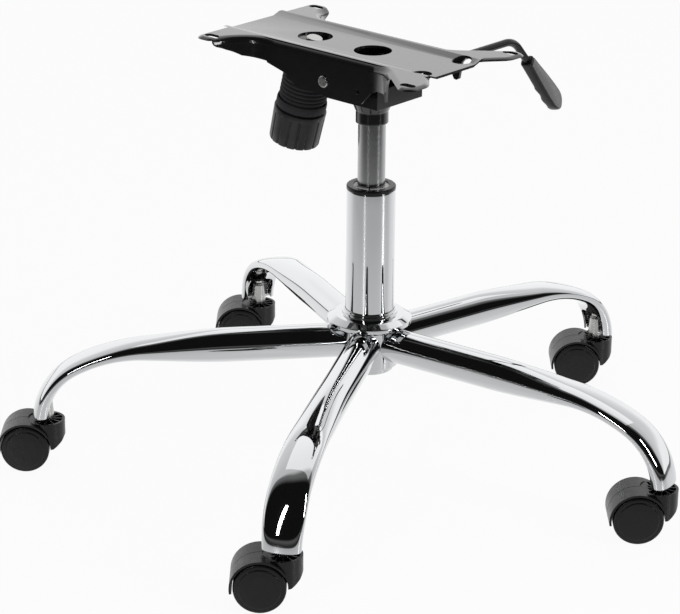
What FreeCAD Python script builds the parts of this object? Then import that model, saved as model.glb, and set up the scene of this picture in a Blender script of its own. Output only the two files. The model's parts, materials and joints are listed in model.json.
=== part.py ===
import FreeCAD
import Part
import Sketcher
import math
import os
from FreeCAD import Placement, Rotation, Vector

# Sizes in millimetres and degrees. X points to the back of the seat, Y to the sitter's
# right, Z up from the floor on the column axis.
SIZES = {
    # five star base
    "leg_turn": 9.5,
    "stem_circle": 334.0,
    "leg_root_z": 134.2,
    "leg_root_dia": 35.5,
    "leg_wall": 1.8,
    "leg_end_gap": 6.0,
    "tip_out": 4.5,
    "tip_deep": 18.5,
    "tip_wide": 38.0,
    "hub_wall": 5.0,
    "hub_low": 110.0,
    "hub_high": 43.5,
    "collar_rad": 43.5,
    "collar_high": 16.5,
    # casters
    "caster_turn": 221.5,
    "wheel_rad": 25.0,
    "wheel_inner": 5.0,
    "wheel_outer": 21.0,
    "wheel_dome": 1.5,
    "trail": 21.0,
    "axle_rad": 3.0,
    "band_gap": 1.3,
    "band_thick": 2.2,
    "band_end": 10.0,
    "hood_half": 21.5,
    "ring_rad": 19.0,
    "ring_rise": 27.0,
    "ring_wall": 2.5,
    "web_gap": 0.3,
    "stem_rad": 5.45,
    "stem_tail_rad": 3.3,
    "stem_head_rad": 5.0,
    "run_gap": 0.05,
    "seat_gap": 0.3,
    # column
    "column_rad": 25.0,
    "column_wall": 2.0,
    "column_low": 103.5,
    "column_top": 298.5,
    "cap_high": 4.0,
    "cap_bore": 18.0,
    "sleeve_long": 68.0,
    "lift_rad": 14.0,
    "lift_wall": 1.2,
    "lift_low": 190.0,
    "lift_top": 401.0,
    "rod_rad": 5.0,
    "piston_z": 270.0,
    "bearing_high": 6.5,
    "bumper_high": 12.0,
    "button_rise": 9.7,
    # mechanism
    "socket_long": 33.0,
    "socket_rad": 16.6,
    "socket_flare": 22.5,
    "bracket_half": 34.0,
    "bracket_drop": 7.0,
    "bracket_rear": 36.0,
    "bracket_front": 112.0,
    "metal": 2.5,
    "pivot_x": -23.0,
    "pivot_rise": 21.0,
    "pivot_rad": 6.0,
    "plate_rise": 29.6,
    "plate_front": 163.0,
    "plate_rear": 126.0,
    "plate_waist": 105.0,
    "ear_half": 91.0,
    "neck_half": 47.0,
    "flare_rad": 45.0,
    "ear_round": 13.0,
    "edge_round": 8.0,
    "channel_deep": 3.2,
    "channel_floor": 30.0,
    "channel_mouth": 39.0,
    "slot_front_x": 146.0,
    "slot_rear_x": 111.0,
    "slot_y": 77.5,
    "slot_long": 17.0,
    "slot_wide": 9.0,
    "eye_rad": 19.0,
    # tilt tension unit
    "bolt_x": -77.5,
    "bolt_sunk": 5.8,
    "bolt_lean": 14.2,
    "bolt_rad": 5.0,
    "head_rad": 8.5,
    "dish_rad": 17.5,
    "spring_top": 32.0,
    "knob_top": 78.0,
    "knob_long": 37.4,
    "knob_rad": 26.5,
    "boot_rad": 25.0,
    "boot_valley": 22.2,
    "boot_wall": 1.4,
    "coil_rad": 17.0,
    "wire_rad": 2.2,
    # lever
    "lever_x": 20.0,
    "lever_rad": 4.0,
    "lever_bend": 12.0,
    "lever_crook": 30.0,
    "lever_reach": 200.0,
    "lever_tip": -8.0,
    "grip_start": 36.5,
    "grip_long": 85.5,
    "grip_wide": 23.5,
    "grip_thick": 13.0,
    "grip_drop": 47.5,
}
LEGS = 5
BOOT_RINGS = 7
KNOB_FLUTES = 14
GUIDE_SLOTS = 6
RING_RIBS = 12

doc = FreeCAD.newDocument("chair_base")
sheet = doc.addObject("Spreadsheet::Sheet", "Dims")
for row, (alias, number) in enumerate(SIZES.items(), start=1):
    sheet.set(f"A{row}", alias)
    sheet.set(f"B{row}", str(number))
    sheet.setAlias(f"B{row}", alias)
doc.recompute()


class Size:
    """A length or an angle: its number together with the sheet formula it comes from."""

    def __init__(self, number, formula):
        self.number = float(number)
        self.formula = formula

    def __add__(self, other):
        other = as_size(other)
        return Size(self.number + other.number, f"({self.formula} + {other.formula})")

    def __sub__(self, other):
        other = as_size(other)
        return Size(self.number - other.number, f"({self.formula} - {other.formula})")

    def __mul__(self, other):
        other = as_size(other)
        return Size(self.number * other.number, f"({self.formula} * {other.formula})")

    def __truediv__(self, other):
        other = as_size(other)
        return Size(self.number / other.number, f"({self.formula} / {other.formula})")

    def __neg__(self):
        return Size(-self.number, f"(0 - {self.formula})")

    def __radd__(self, other):
        return as_size(other) + self

    def __rsub__(self, other):
        return as_size(other) - self

    def __rmul__(self, other):
        return as_size(other) * self

    def __float__(self):
        return self.number


def as_size(value):
    """A plain number as a Size; a Size stays as it is."""
    if isinstance(value, Size):
        return value
    return Size(value, f"({float(value):.6f})")


def sine(angle):
    angle = as_size(angle)
    return Size(math.sin(math.radians(angle.number)), f"sin({angle.formula})")


def cosine(angle):
    angle = as_size(angle)
    return Size(math.cos(math.radians(angle.number)), f"cos({angle.formula})")


class Named:
    """Every sheet cell as an attribute."""

    def __init__(self, table):
        for alias, number in table.items():
            setattr(self, alias, Size(number, f"Dims.{alias}"))


d = Named(SIZES)
pieces = []

# heights of the mechanism, each hung on the one below it
d.button_top = d.lift_top + d.button_rise
d.socket_low = d.lift_top - d.socket_long
d.bracket_low = d.lift_top - d.bracket_drop
d.pivot_z = d.bracket_low + d.pivot_rise
d.plate_top = d.pivot_z + d.plate_rise
d.bolt_z = d.plate_top - d.bolt_sunk


# helpers that make document objects tied to the sheet
def bind(item, prop, value):
    """Ties one property to a formula and sets its number at once."""
    item.setExpression(prop, as_size(value).formula)


def place(item, at=(0, 0, 0), axis=(0, 0, 1), turn=0):
    """Moves an object to a place and a turn that follow the sheet."""
    at = [as_size(value) for value in at]
    turn = as_size(turn)
    item.Placement = Placement(Vector(*[value.number for value in at]), Rotation(Vector(*axis), turn.number))
    for letter, value in zip("xyz", at):
        bind(item, f"Placement.Base.{letter}", value)
    if turn.number:
        bind(item, "Placement.Rotation.Angle", turn)
    return item


AXIS_TURN = {"Z": ((0, 0, 1), 0), "Y": ((1, 0, 0), -90), "X": ((0, 1, 0), 90)}


def cylinder(name, radius, height, at=(0, 0, 0), along="Z"):
    item = doc.addObject("Part::Cylinder", name)
    bind(item, "Radius", radius)
    bind(item, "Height", height)
    axis, turn = AXIS_TURN[along]
    return place(item, at, axis, turn)


def box(name, sizes, at=(0, 0, 0)):
    item = doc.addObject("Part::Box", name)
    for prop, value in zip(("Length", "Width", "Height"), sizes):
        bind(item, prop, value)
    return place(item, at)


def fuse(name, parts):
    item = doc.addObject("Part::MultiFuse", name)
    item.Shapes = parts
    return item


def common(name, parts):
    item = doc.addObject("Part::MultiCommon", name)
    item.Shapes = parts
    return item


def cut(name, base, tools):
    item = doc.addObject("Part::Cut", name)
    item.Base = base
    item.Tool = tools[0] if len(tools) == 1 else fuse(f"{name}_tools", tools)
    return item


def sketch_on(body, plane, outline):
    """A closed outline of straight lines whose corners all follow the sheet."""
    sketch = body.newObject("Sketcher::SketchObject", f"{body.Name}_outline")
    origin_plane = [item for item in body.Origin.OriginFeatures if item.Role == plane][0]
    sketch.AttachmentSupport = [(origin_plane, "")]
    sketch.MapMode = "FlatFace"
    corners = [(as_size(across), as_size(up)) for across, up in outline]
    count = len(corners)
    for index, (across, up) in enumerate(corners):
        next_across, next_up = corners[(index + 1) % count]
        start = Vector(across.number, up.number, 0)
        end = Vector(next_across.number, next_up.number, 0)
        sketch.addGeometry(Part.LineSegment(start, end), False)
    for index in range(count):
        sketch.addConstraint(Sketcher.Constraint("Coincident", index, 2, (index + 1) % count, 1))
    for index, (across, up) in enumerate(corners):
        tie_corner(sketch, index, "DistanceX", across, -2)
        tie_corner(sketch, index, "DistanceY", up, -1)
    return sketch


def tie_corner(sketch, index, kind, value, axis):
    """Fixes one coordinate of a corner, on the sketch axis where it is zero."""
    if abs(value.number) < 1e-6:
        sketch.addConstraint(Sketcher.Constraint("PointOnObject", index, 1, axis))
        return
    place_in_list = sketch.addConstraint(Sketcher.Constraint(kind, -1, 1, index, 1, value.number))
    sketch.setExpression(f"Constraints[{place_in_list}]", value.formula)


def turned(name, outline, at=(0, 0, 0), axis=(0, 0, 1), turn=0):
    """A turned body: the outline holds (radius, height) pairs."""
    body = doc.addObject("PartDesign::Body", name)
    sketch = sketch_on(body, "XZ_Plane", outline)
    revolution = body.newObject("PartDesign::Revolution", f"{name}_revolution")
    revolution.Profile = sketch
    revolution.ReferenceAxis = (sketch, ["V_Axis"])
    revolution.Angle = 360
    sketch.Visibility = False
    return place(body, at, axis, turn)


def side_prism(name, outline, half_width):
    """A plate of the given (x, z) outline, centred across Y."""
    body = doc.addObject("PartDesign::Body", name)
    sketch = sketch_on(body, "XZ_Plane", outline)
    pad = body.newObject("PartDesign::Pad", f"{name}_pad")
    pad.Profile = sketch
    bind(pad, "Length", 2 * half_width)
    return place(body, (0, half_width, 0))


def plan_prism(name, outline, height, low):
    """A block of the given (x, y) outline standing on a level."""
    body = doc.addObject("PartDesign::Body", name)
    sketch = sketch_on(body, "XY_Plane", outline)
    pad = body.newObject("PartDesign::Pad", f"{name}_pad")
    pad.Profile = sketch
    bind(pad, "Length", height)
    return place(body, (0, 0, low))


def upright_edges(shape, corners):
    """Names of the upright edges that stand on the given (x, y) corners."""
    names = []
    for number, edge in enumerate(shape.Edges, start=1):
        first, last = edge.Vertexes[0].Point, edge.Vertexes[-1].Point
        upright = math.hypot(first.x - last.x, first.y - last.y) < 1e-3 and abs(first.z - last.z) > 1
        for across, along in corners:
            if upright and math.hypot(first.x - float(across), first.y - float(along)) < 0.1:
                names.append(f"Edge{number}")
    return names


def round_edges(body, name, radius, names):
    """A fillet on the named edges of the body's last step."""
    fillet = body.newObject("PartDesign::Fillet", name)
    fillet.Base = (body.Tip if body.Tip != fillet else body.Group[-2], names)
    bind(fillet, "Radius", radius)
    body.Tip = fillet
    doc.recompute()
    return fillet


def piece(item, name):
    """Marks an object as one physical piece with its own name."""
    item.Label = name
    pieces.append(item)
    return item


def copy_of(master, name, at=(0, 0, 0), turn=0):
    """The same piece again at another place."""
    item = doc.addObject("Part::Compound", name)
    item.Links = [master]
    place(item, at, (0, 0, 1), turn)
    return piece(item, name)


def mirrored(outline):
    """The corners of one side and, going back, of the other side."""
    return list(outline) + [(across, -along) for across, along in reversed(outline)]


# leg: round at the hub, flattened on its way out, bent down to the caster
hub_rad = d.column_rad + d.hub_wall
axle_z = d.wheel_rad
ring_z = d.wheel_rad + d.ring_rise
leg_end_z = ring_z + d.leg_end_gap
LEG_SLOPE = 1.6
LEG_BENDS = ((165.0, 25.0), (66.0, 59.0))
LEG_START = 20.0
LEG_SECTIONS = 18


def leg_route():
    """Straight runs and arcs of the centre line as (length, bend radius or None, turn)."""
    heading = LEG_SLOPE
    out = 0.0
    for radius, turn in LEG_BENDS:
        out += radius * (math.sin(math.radians(heading + turn)) - math.sin(math.radians(heading)))
        heading += turn
    run = float(d.stem_circle + d.tip_out) - LEG_START - out
    straight = run / math.cos(math.radians(LEG_SLOPE))
    route = [(straight, None, 0.0)]
    route += [(math.radians(turn) * radius, radius, turn) for radius, turn in LEG_BENDS]
    route.append((25.0, None, 0.0))
    return route


def leg_point(distance):
    """Place on the centre line in (radius, height) and the heading below level."""
    radius_out, height, heading = LEG_START, float(d.leg_root_z), LEG_SLOPE
    left = distance
    for length, bend, turn in leg_route():
        step = min(left, length)
        if bend is None:
            radius_out += step * math.cos(math.radians(heading))
            height -= step * math.sin(math.radians(heading))
        else:
            swung = heading + math.degrees(step / bend)
            radius_out += bend * (math.sin(math.radians(swung)) - math.sin(math.radians(heading)))
            height -= bend * (math.cos(math.radians(heading)) - math.cos(math.radians(swung)))
            heading = swung
        left -= step
        if left <= 0:
            break
    return radius_out, height, heading


def ease(value):
    """Smooth step from 0 to 1."""
    value = min(1.0, max(0.0, value))
    return value * value * (3 - 2 * value)


def leg_station(distance):
    """Depth, width and squareness of the section at a distance along the leg."""
    lengths = [length for length, bend, turn in leg_route()]
    flat_from = lengths[0] * 0.58
    flat_to = lengths[0] + lengths[1] * 0.75
    tip_from = lengths[0] + lengths[1] + lengths[2] * 0.45
    tip_to = lengths[0] + lengths[1] + lengths[2]
    flat = ease((distance - flat_from) / (flat_to - flat_from))
    tip = ease((distance - tip_from) / (tip_to - tip_from))
    root, deep, wide = float(d.leg_root_dia), float(d.tip_deep), float(d.tip_wide)
    slim_deep, slim_wide = deep - 3.5, wide + 3.0
    depth = root + (slim_deep - root) * flat + (deep - slim_deep) * tip
    width = root + (slim_wide - root) * flat + (wide - slim_wide) * tip
    return depth, width, 2.0 + flat


def closed_curve(points):
    """A smooth closed curve whose knots match on every section of a loft."""
    curve = Part.BSplineCurve()
    count = len(points)
    steps = [step / count for step in range(count + 1)]
    curve.interpolate(Points=points, PeriodicFlag=True, Parameters=steps)
    return Part.Wire(curve.toShape())


def squared_circle(step, count, power):
    """Unit place on a circle that grows squarer with the power."""
    angle = 2 * math.pi * step / count
    side = math.copysign(abs(math.cos(angle)) ** (2 / power), math.cos(angle))
    rise = math.copysign(abs(math.sin(angle)) ** (2 / power), math.sin(angle))
    return side, rise


def leg_section(distance, inset):
    """A closed curve square to the centre line."""
    deep, wide, power = leg_station(distance)
    out, height, heading = leg_point(distance)
    lean = math.radians(heading)
    points = []
    for step in range(12):
        side, rise = squared_circle(step, 12, power)
        side *= wide / 2 - inset
        rise *= deep / 2 - inset
        points.append(Vector(out + rise * math.sin(lean), side, height + rise * math.cos(lean)))
    return closed_curve(points)


def leg_solid(inset):
    """The leg's outer form, or its hollow where there is an inset."""
    whole = sum(length for length, bend, turn in leg_route())
    stops = [whole * step / LEG_SECTIONS for step in range(LEG_SECTIONS + 1)]
    return Part.makeLoft([leg_section(stop, inset) for stop in stops], True, False)


def mouth_tool():
    """Arch in the hub-facing wall over the caster stem."""
    low = float(leg_end_z) - 10
    lengths = [length for length, bend, turn in leg_route()]
    whole = sum(lengths)
    top = whole - lengths[3] - lengths[2] * 0.52
    route = [leg_point(whole + (top - whole) * step / 6) for step in range(7)]
    edge = [Vector(out, 0, height) for out, height, heading in route]
    reach = edge[-1].x - 45
    corners = edge + [Vector(reach, 0, edge[-1].z), Vector(reach, 0, low)]
    corners.append(corners[0])
    half = float(d.tip_wide) * 0.39
    slab = Part.Face(Part.makePolygon(corners)).extrude(Vector(0, 2 * half, 0))
    slab.translate(Vector(0, -half, 0))
    arch_top = edge[-1].z - half
    arch = Part.makeBox(200, 2 * half, arch_top - low, Vector(reach - 20, -half, low))
    round_top = Part.makeCylinder(half, 200, Vector(reach - 20, 0, arch_top), Vector(1, 0, 0))
    return slab.common(arch.fuse(round_top))


def leg_shape():
    """One leg along +X: a tube cut to the hub, to its neighbours and level at the tip."""
    tube = leg_solid(0).cut(leg_solid(float(d.leg_wall)))
    reach = float(d.stem_circle) * 1.5
    low = float(leg_end_z)
    spread = math.tan(math.radians(35.7)) * reach
    wedge = [Vector(0, 0, low), Vector(reach, -spread, low), Vector(reach, spread, low), Vector(0, 0, low)]
    room = Part.Face(Part.makePolygon(wedge)).extrude(Vector(0, 0, 200))
    hub = Part.makeCylinder(float(hub_rad), 300, Vector(0, 0, 0))
    return tube.common(room).cut(hub).cut(mouth_tool())


leg_master = doc.addObject("Part::Feature", "leg_master")
leg_master.Shape = leg_shape()
for index in range(LEGS):
    copy_of(leg_master, f"leg_{index + 1}", turn=d.leg_turn + 360 / LEGS * index)

# hub tube and the pressed collar on it
hub_tube = turned("hub_tube", [
    (d.column_rad, 0),
    (hub_rad - 1, 0),
    (hub_rad, 1),
    (hub_rad, d.hub_high),
    (d.column_rad, d.hub_high),
], at=(0, 0, d.hub_low))
piece(hub_tube, "hub_tube")
collar_bore = d.column_rad + d.seat_gap
hub_collar = turned("hub_collar", [
    (collar_bore, 0),
    (hub_rad + 1, 0),
    (hub_rad + 2, 4.5),
    (d.collar_rad - 5, 4.5),
    (d.collar_rad - 4, 0),
    (d.collar_rad - 3.5, 0),
    (d.collar_rad, 3),
    (d.collar_rad, 6.5),
    (d.collar_rad - 7.5, d.collar_high - 5.5),
    (collar_bore + 3.2, d.collar_high - 5),
    (collar_bore + 3.2, d.collar_high - 2),
    (collar_bore + 1.4, d.collar_high - 2),
    (collar_bore + 1.4, d.collar_high),
    (collar_bore, d.collar_high),
], at=(0, 0, d.hub_low + d.hub_high))
piece(hub_collar, "hub_collar")

# caster, in its own place: stem on Z, trailing side towards +X
band_inner = d.wheel_rad + d.band_gap
band_outer = band_inner + d.band_thick
web_half = d.wheel_inner - d.web_gap
ring_floor = ring_z - 5


def caster_stem():
    """Steel stem: tail in the web, shank in the ring, collar and shank in the leg socket, head."""
    top = leg_end_z + 17
    stem = turned("caster_stem", [
        (0, ring_floor - 14),
        (d.stem_tail_rad, ring_floor - 14),
        (d.stem_tail_rad, ring_floor + 0.2),
        (d.stem_rad, ring_floor + 0.2),
        (d.stem_rad, ring_z + d.seat_gap),
        (d.stem_rad + 2.5, ring_z + d.seat_gap),
        (d.stem_rad + 2.5, leg_end_z),
        (d.stem_rad, leg_end_z),
        (d.stem_rad, top),
        (d.stem_head_rad * 0.6, top),
        (d.stem_head_rad * 0.6, top + 1),
        (d.stem_head_rad, top + 3),
        (d.stem_head_rad, top + 5),
        (d.stem_head_rad * 0.6, top + 7.5),
        (0, top + 8),
    ])
    return stem


def caster_wheel(name, turn):
    """One wheel with its blind bore, hollow inner side and domed outer face."""
    bore = d.axle_rad + d.run_gap
    face = d.wheel_outer
    wheel = turned(name, [
        (0, face - 3),
        (bore, face - 3),
        (bore, d.wheel_inner + 0.3),
        (d.axle_rad + 4, d.wheel_inner + 0.3),
        (d.axle_rad + 5, face - 7),
        (d.wheel_rad - 6.5, face - 7),
        (d.wheel_rad - 5, d.wheel_inner),
        (d.wheel_rad - 0.8, d.wheel_inner),
        (d.wheel_rad, d.wheel_inner + 0.8),
        (d.wheel_rad, face - 1.6),
        (d.wheel_rad - 0.6, face - 0.5),
        (d.wheel_rad - 1.8, face),
        (d.wheel_rad - 4.6, face),
        (d.wheel_rad - 5.4, face + d.wheel_dome * 0.4),
        (d.wheel_rad * 0.5, face + d.wheel_dome * 0.85),
        (0, face + d.wheel_dome),
    ], at=(d.trail, 0, axle_z), axis=(1, 0, 0), turn=turn)
    return wheel


def caster_hood():
    """Nylon hood: band over the wheels, ring and housing for the stem, web and axle boss."""
    half = d.hood_half
    wide = 2 * half
    sweep = 150 + d.band_end
    sector = doc.addObject("Part::Cylinder", "hood_sector")
    bind(sector, "Radius", band_outer)
    bind(sector, "Height", wide)
    bind(sector, "Angle", sweep)
    lean = Rotation(Vector(0, 1, 0), SIZES["band_end"])
    sector.Placement = Placement(Vector(float(d.trail), float(half), float(axle_z)),
                                 lean * Rotation(Vector(1, 0, 0), 90))
    for letter, value in zip("xyz", (d.trail, half, axle_z)):
        bind(sector, f"Placement.Base.{letter}", value)
    hollow = cylinder("hood_hollow", band_inner, wide + 2, (d.trail, -half - 1, axle_z), "Y")
    band = cut("hood_band", sector, [hollow])

    housing_round = cylinder("hood_round", d.ring_rad, ring_z - axle_z + 1, (0, 0, axle_z - 1))
    reach = d.ring_rad + 1
    nose = [
        (-reach, ring_z),
        (reach, ring_z),
        (reach, axle_z - 1),
        (-d.ring_rad + 10.8, axle_z - 1),
        (-d.ring_rad + 7.0, axle_z + 1.6),
        (-d.ring_rad + 2.6, axle_z + 5.6),
        (-d.ring_rad, axle_z + 10.4),
        (-reach, axle_z + 12.5),
    ]
    housing = common("hood_housing", [housing_round, side_prism("hood_nose", nose, reach)])
    room_left = cylinder("hood_room_left", band_inner, half, (d.trail, web_half, axle_z), "Y")
    room_right = cylinder("hood_room_right", band_inner, half, (d.trail, -web_half - half, axle_z), "Y")
    housing_cut = cut("hood_housing_cut", housing, [room_left, room_right])

    web_disc = cylinder("web_disc", band_inner + d.band_thick * 0.5, 2 * web_half, (d.trail, -web_half, axle_z), "Y")
    web_shape = side_prism("web_shape", [
        (-8, axle_z + 2),
        (-8, ring_z),
        (d.trail + 17, ring_z),
        (d.trail + 7, axle_z - 1),
        (d.trail, axle_z - 8),
        (d.trail - 9, axle_z - 5),
    ], web_half)
    web = common("hood_web", [web_disc, web_shape])
    whole = fuse("hood_whole", [band, housing_cut, web])

    ring_in = d.ring_rad - d.ring_wall
    boss_rad = d.stem_rad + 2.6
    dip_outer = cylinder("ring_dip", ring_in, 8, (0, 0, ring_z - 4.5))
    dip_boss = cylinder("ring_boss", boss_rad, 10, (0, 0, ring_z - 6))
    dip_band = cylinder("ring_keep", band_outer, wide, (d.trail, -half, axle_z), "Y")
    ribs = []
    for number in range(RING_RIBS):
        rib = box(f"ring_rib_{number}", (d.ring_rad, 1.3, 7), (0, 0, ring_z - 6.5))
        rib.Placement.Rotation = Rotation(Vector(0, 0, 1), 360 / RING_RIBS * number)
        ribs.append(rib)
    dip = cut("ring_recess", dip_outer, [dip_boss, dip_band] + ribs)
    bore = cylinder("stem_bore", d.stem_rad + d.run_gap, 20, (0, 0, ring_floor))
    tail = cylinder("tail_bore", d.stem_tail_rad + d.run_gap, 20, (0, 0, ring_floor - 14 - d.seat_gap))
    axle_bore = cylinder("axle_bore", d.axle_rad, wide, (d.trail, -half, axle_z), "Y")
    groove_out = cylinder("groove_out", band_outer + 3, 0.6, (d.trail, -0.3, axle_z), "Y")
    groove_in = cylinder("groove_in", band_outer - 0.5, 2, (d.trail, -1, axle_z), "Y")
    groove = cut("hood_groove", groove_out, [groove_in])
    clear_top = cylinder("ring_clear", d.ring_rad, 10, (0, 0, ring_z))
    return cut("hood_master", whole, [dip, bore, tail, axle_bore, groove, clear_top])


def stem_socket():
    """Turned socket on an end plate that fills the leg's mouth."""
    cone = turned("socket_cone", [
        (d.stem_rad, 0),
        (d.stem_rad + 2.6, 0),
        (d.stem_rad + 1.2, 17),
        (d.stem_rad, 17),
    ], at=(d.stem_circle, 0, leg_end_z))
    centre = d.stem_circle + d.tip_out
    deep = d.tip_deep / 2 - d.leg_wall - d.seat_gap
    wide = d.tip_wide / 2 - d.leg_wall - d.seat_gap
    plate = plan_prism("socket_plate", mirrored([
        (centre - deep * 0.6, wide * 0.84),
        (centre, wide * 0.92),
        (centre + deep * 0.52, wide * 0.85),
        (centre + deep * 0.76, wide * 0.66),
        (centre + deep * 0.88, wide * 0.34),
    ]), 2.5, leg_end_z + 1)
    hole = cylinder("socket_hole", d.stem_rad + 0.6, 10, (d.stem_circle, 0, leg_end_z - 2))
    plate_cut = cut("socket_plate_cut", plate, [hole])
    return fuse("socket_master", [plate_cut, cone])


axle_half = d.wheel_outer - 3 - d.seat_gap
masters = {
    "caster_stem": caster_stem(),
    "caster_hood": caster_hood(),
    "caster_axle": cylinder("axle_master", d.axle_rad, 2 * axle_half, (d.trail, -axle_half, axle_z), "Y"),
    "wheel_left": caster_wheel("wheel_left_master", -90),
    "wheel_right": caster_wheel("wheel_right_master", 90),
}
socket_master = stem_socket()
for index in range(LEGS):
    direction = d.leg_turn + 360 / LEGS * index
    spot = (d.stem_circle * cosine(direction), d.stem_circle * sine(direction), 0)
    copy_of(socket_master, f"stem_socket_{index + 1}", turn=direction)
    for kind, master in masters.items():
        copy_of(master, f"{kind}_{index + 1}", spot, d.caster_turn)

# column with its cap ring and guide sleeve
tube_bore = d.column_rad - d.column_wall
column_tube = turned("column_tube", [
    (d.rod_rad + 1, 0),
    (d.column_rad - 1, 0),
    (d.column_rad, 1),
    (d.column_rad, d.column_top - d.column_low),
    (tube_bore, d.column_top - d.column_low),
    (tube_bore, 3),
    (d.rod_rad + 1, 3),
], at=(0, 0, d.column_low))
piece(column_tube, "column_tube")
column_cap = turned("column_cap", [
    (d.cap_bore, 0),
    (d.column_rad, 0),
    (d.column_rad, d.cap_high - 0.8),
    (d.column_rad - 0.8, d.cap_high),
    (d.cap_bore + 0.6, d.cap_high),
    (d.cap_bore, d.cap_high - 0.6),
], at=(0, 0, d.column_top))
piece(column_cap, "column_cap")
guide_bore = d.lift_rad + d.run_gap
guide_blank = turned("guide_blank", [
    (guide_bore, 0),
    (tube_bore, 0),
    (tube_bore, d.sleeve_long),
    (d.cap_bore, d.sleeve_long),
    (d.cap_bore, d.sleeve_long + d.cap_high - 1),
    (guide_bore, d.sleeve_long + d.cap_high - 1),
], at=(0, 0, d.column_top - d.sleeve_long))
guide_cuts = []
for number in range(GUIDE_SLOTS):
    slot = box(f"guide_slot_{number}", (d.cap_bore, 1.6, 14), (0, 0, d.column_top + d.cap_high - 4))
    slot.Placement.Rotation = Rotation(Vector(0, 0, 1), 360 / GUIDE_SLOTS * number)
    guide_cuts.append(slot)
piece(cut("guide_sleeve", guide_blank, guide_cuts), "guide_sleeve")

# piston rod on its bearing, held by a clip under the column
bearing_z = d.column_low + 3
shoulder_z = bearing_z + d.bearing_high + d.seat_gap
piece(turned("thrust_bearing", [
    (d.rod_rad + 0.6, 0),
    (d.rod_rad + 8, 0),
    (d.rod_rad + 8, 2),
    (d.rod_rad + 6.8, 2.4),
    (d.rod_rad + 6.8, d.bearing_high - 2.4),
    (d.rod_rad + 8, d.bearing_high - 2),
    (d.rod_rad + 8, d.bearing_high),
    (d.rod_rad + 0.6, d.bearing_high),
], at=(0, 0, bearing_z)), "thrust_bearing")
rod_low = d.column_low - 5.5
piston_rad = d.lift_rad - d.lift_wall - d.run_gap
groove_z = d.column_low - 3
piece(turned("piston_rod", [
    (0, rod_low),
    (d.rod_rad - 0.8, rod_low),
    (d.rod_rad, rod_low + 0.8),
    (d.rod_rad, groove_z - 0.7),
    (d.rod_rad - 1, groove_z - 0.7),
    (d.rod_rad - 1, groove_z + 0.7),
    (d.rod_rad, groove_z + 0.7),
    (d.rod_rad, shoulder_z),
    (d.rod_rad + 4, shoulder_z),
    (d.rod_rad + 4, shoulder_z + 3),
    (d.rod_rad, shoulder_z + 3),
    (d.rod_rad, d.piston_z),
    (piston_rad, d.piston_z),
    (piston_rad, d.piston_z + 20),
    (0, d.piston_z + 20),
]), "piston_rod")
piece(turned("retaining_clip", [
    (d.rod_rad - 1, -0.6),
    (d.rod_rad + 4, -0.6),
    (d.rod_rad + 4, 0.6),
    (d.rod_rad - 1, 0.6),
], at=(0, 0, groove_z)), "retaining_clip")
piece(turned("rubber_bumper", [
    (d.rod_rad, 0),
    (d.rod_rad + 6, 0),
    (d.rod_rad + 7, 3),
    (d.rod_rad + 6, d.bumper_high),
    (d.rod_rad, d.bumper_high),
], at=(0, 0, shoulder_z + 3)), "rubber_bumper")

# gas cylinder, its valve button and the taper socket round it
taper_end = d.lift_rad - 0.8
button_rad = 3.0
head_low = d.button_top - 4.7
piece(turned("gas_cylinder", [
    (d.rod_rad + d.run_gap, d.lift_low),
    (d.lift_rad - 1, d.lift_low),
    (d.lift_rad, d.lift_low + 1),
    (d.lift_rad, d.socket_low),
    (taper_end, d.lift_top),
    (button_rad + d.run_gap, d.lift_top),
    (button_rad + d.run_gap, d.lift_top - 27),
    (0, d.lift_top - 27),
    (0, d.lift_top - 35),
    (d.lift_rad - d.lift_wall, d.lift_top - 35),
    (d.lift_rad - d.lift_wall, d.lift_low + 10),
    (d.rod_rad + d.run_gap, d.lift_low + 10),
]), "gas_cylinder")
piece(turned("valve_button", [
    (0, d.lift_top - 21),
    (button_rad, d.lift_top - 21),
    (button_rad, head_low),
    (button_rad + 2.5, head_low),
    (button_rad + 2.5, d.button_top - 1),
    (button_rad + 1.5, d.button_top),
    (0, d.button_top),
]), "valve_button")
socket_shoulder = d.socket_low + 13
piece(turned("taper_socket", [
    (d.lift_rad, d.socket_low),
    (d.socket_rad - 0.6, d.socket_low),
    (d.socket_rad, d.socket_low + 0.6),
    (d.socket_rad, socket_shoulder),
    (d.socket_rad + 0.6, socket_shoulder),
    (d.socket_flare, d.bracket_low),
    (d.socket_rad + 0.6, d.bracket_low),
    (d.socket_rad + 0.6, d.lift_top - 1),
    (taper_end + (d.lift_rad - taper_end) * 0.0303, d.lift_top - 1),
]), "taper_socket")

# lower bracket: a folded pan that rises in front to the spring seat
lean = float(d.bolt_lean)
lean_cos = cosine(d.bolt_lean)
lean_sin = sine(d.bolt_lean)
seat_x = d.bolt_x - lean_sin * d.spring_top
seat_z = d.bolt_z - lean_cos * d.spring_top
lean_tan = lean_sin / lean_cos
knee_x = seat_x + (seat_z - d.bracket_low) / lean_tan
front_low = seat_z + (seat_x + d.bracket_front) * lean_tan
raise_slope = d.metal / lean_cos
pan_outer = side_prism("pan_outer", [
    (d.bracket_rear, d.bracket_low),
    (knee_x, d.bracket_low),
    (-d.bracket_front, front_low),
    (-d.bracket_front, front_low + 6),
    (-d.bracket_front + 52, d.pivot_z + 8),
    (d.pivot_x, d.pivot_z + 12),
    (d.pivot_x + 34, d.pivot_z + 7),
    (d.bracket_rear, d.pivot_z - 1),
], d.bracket_half)
pan_inner = side_prism("pan_inner", [
    (d.bracket_rear - d.metal, d.bracket_low + d.metal),
    (knee_x, d.bracket_low + d.metal),
    (-d.bracket_front + d.metal, front_low + raise_slope - d.metal * lean_tan + 0.6),
    (-d.bracket_front + d.metal, d.plate_top),
    (d.bracket_rear - d.metal, d.plate_top),
], d.bracket_half - d.metal)
socket_through = cylinder("socket_through", d.socket_rad + 0.6, 30, (0, 0, d.bracket_low - 10))
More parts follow.
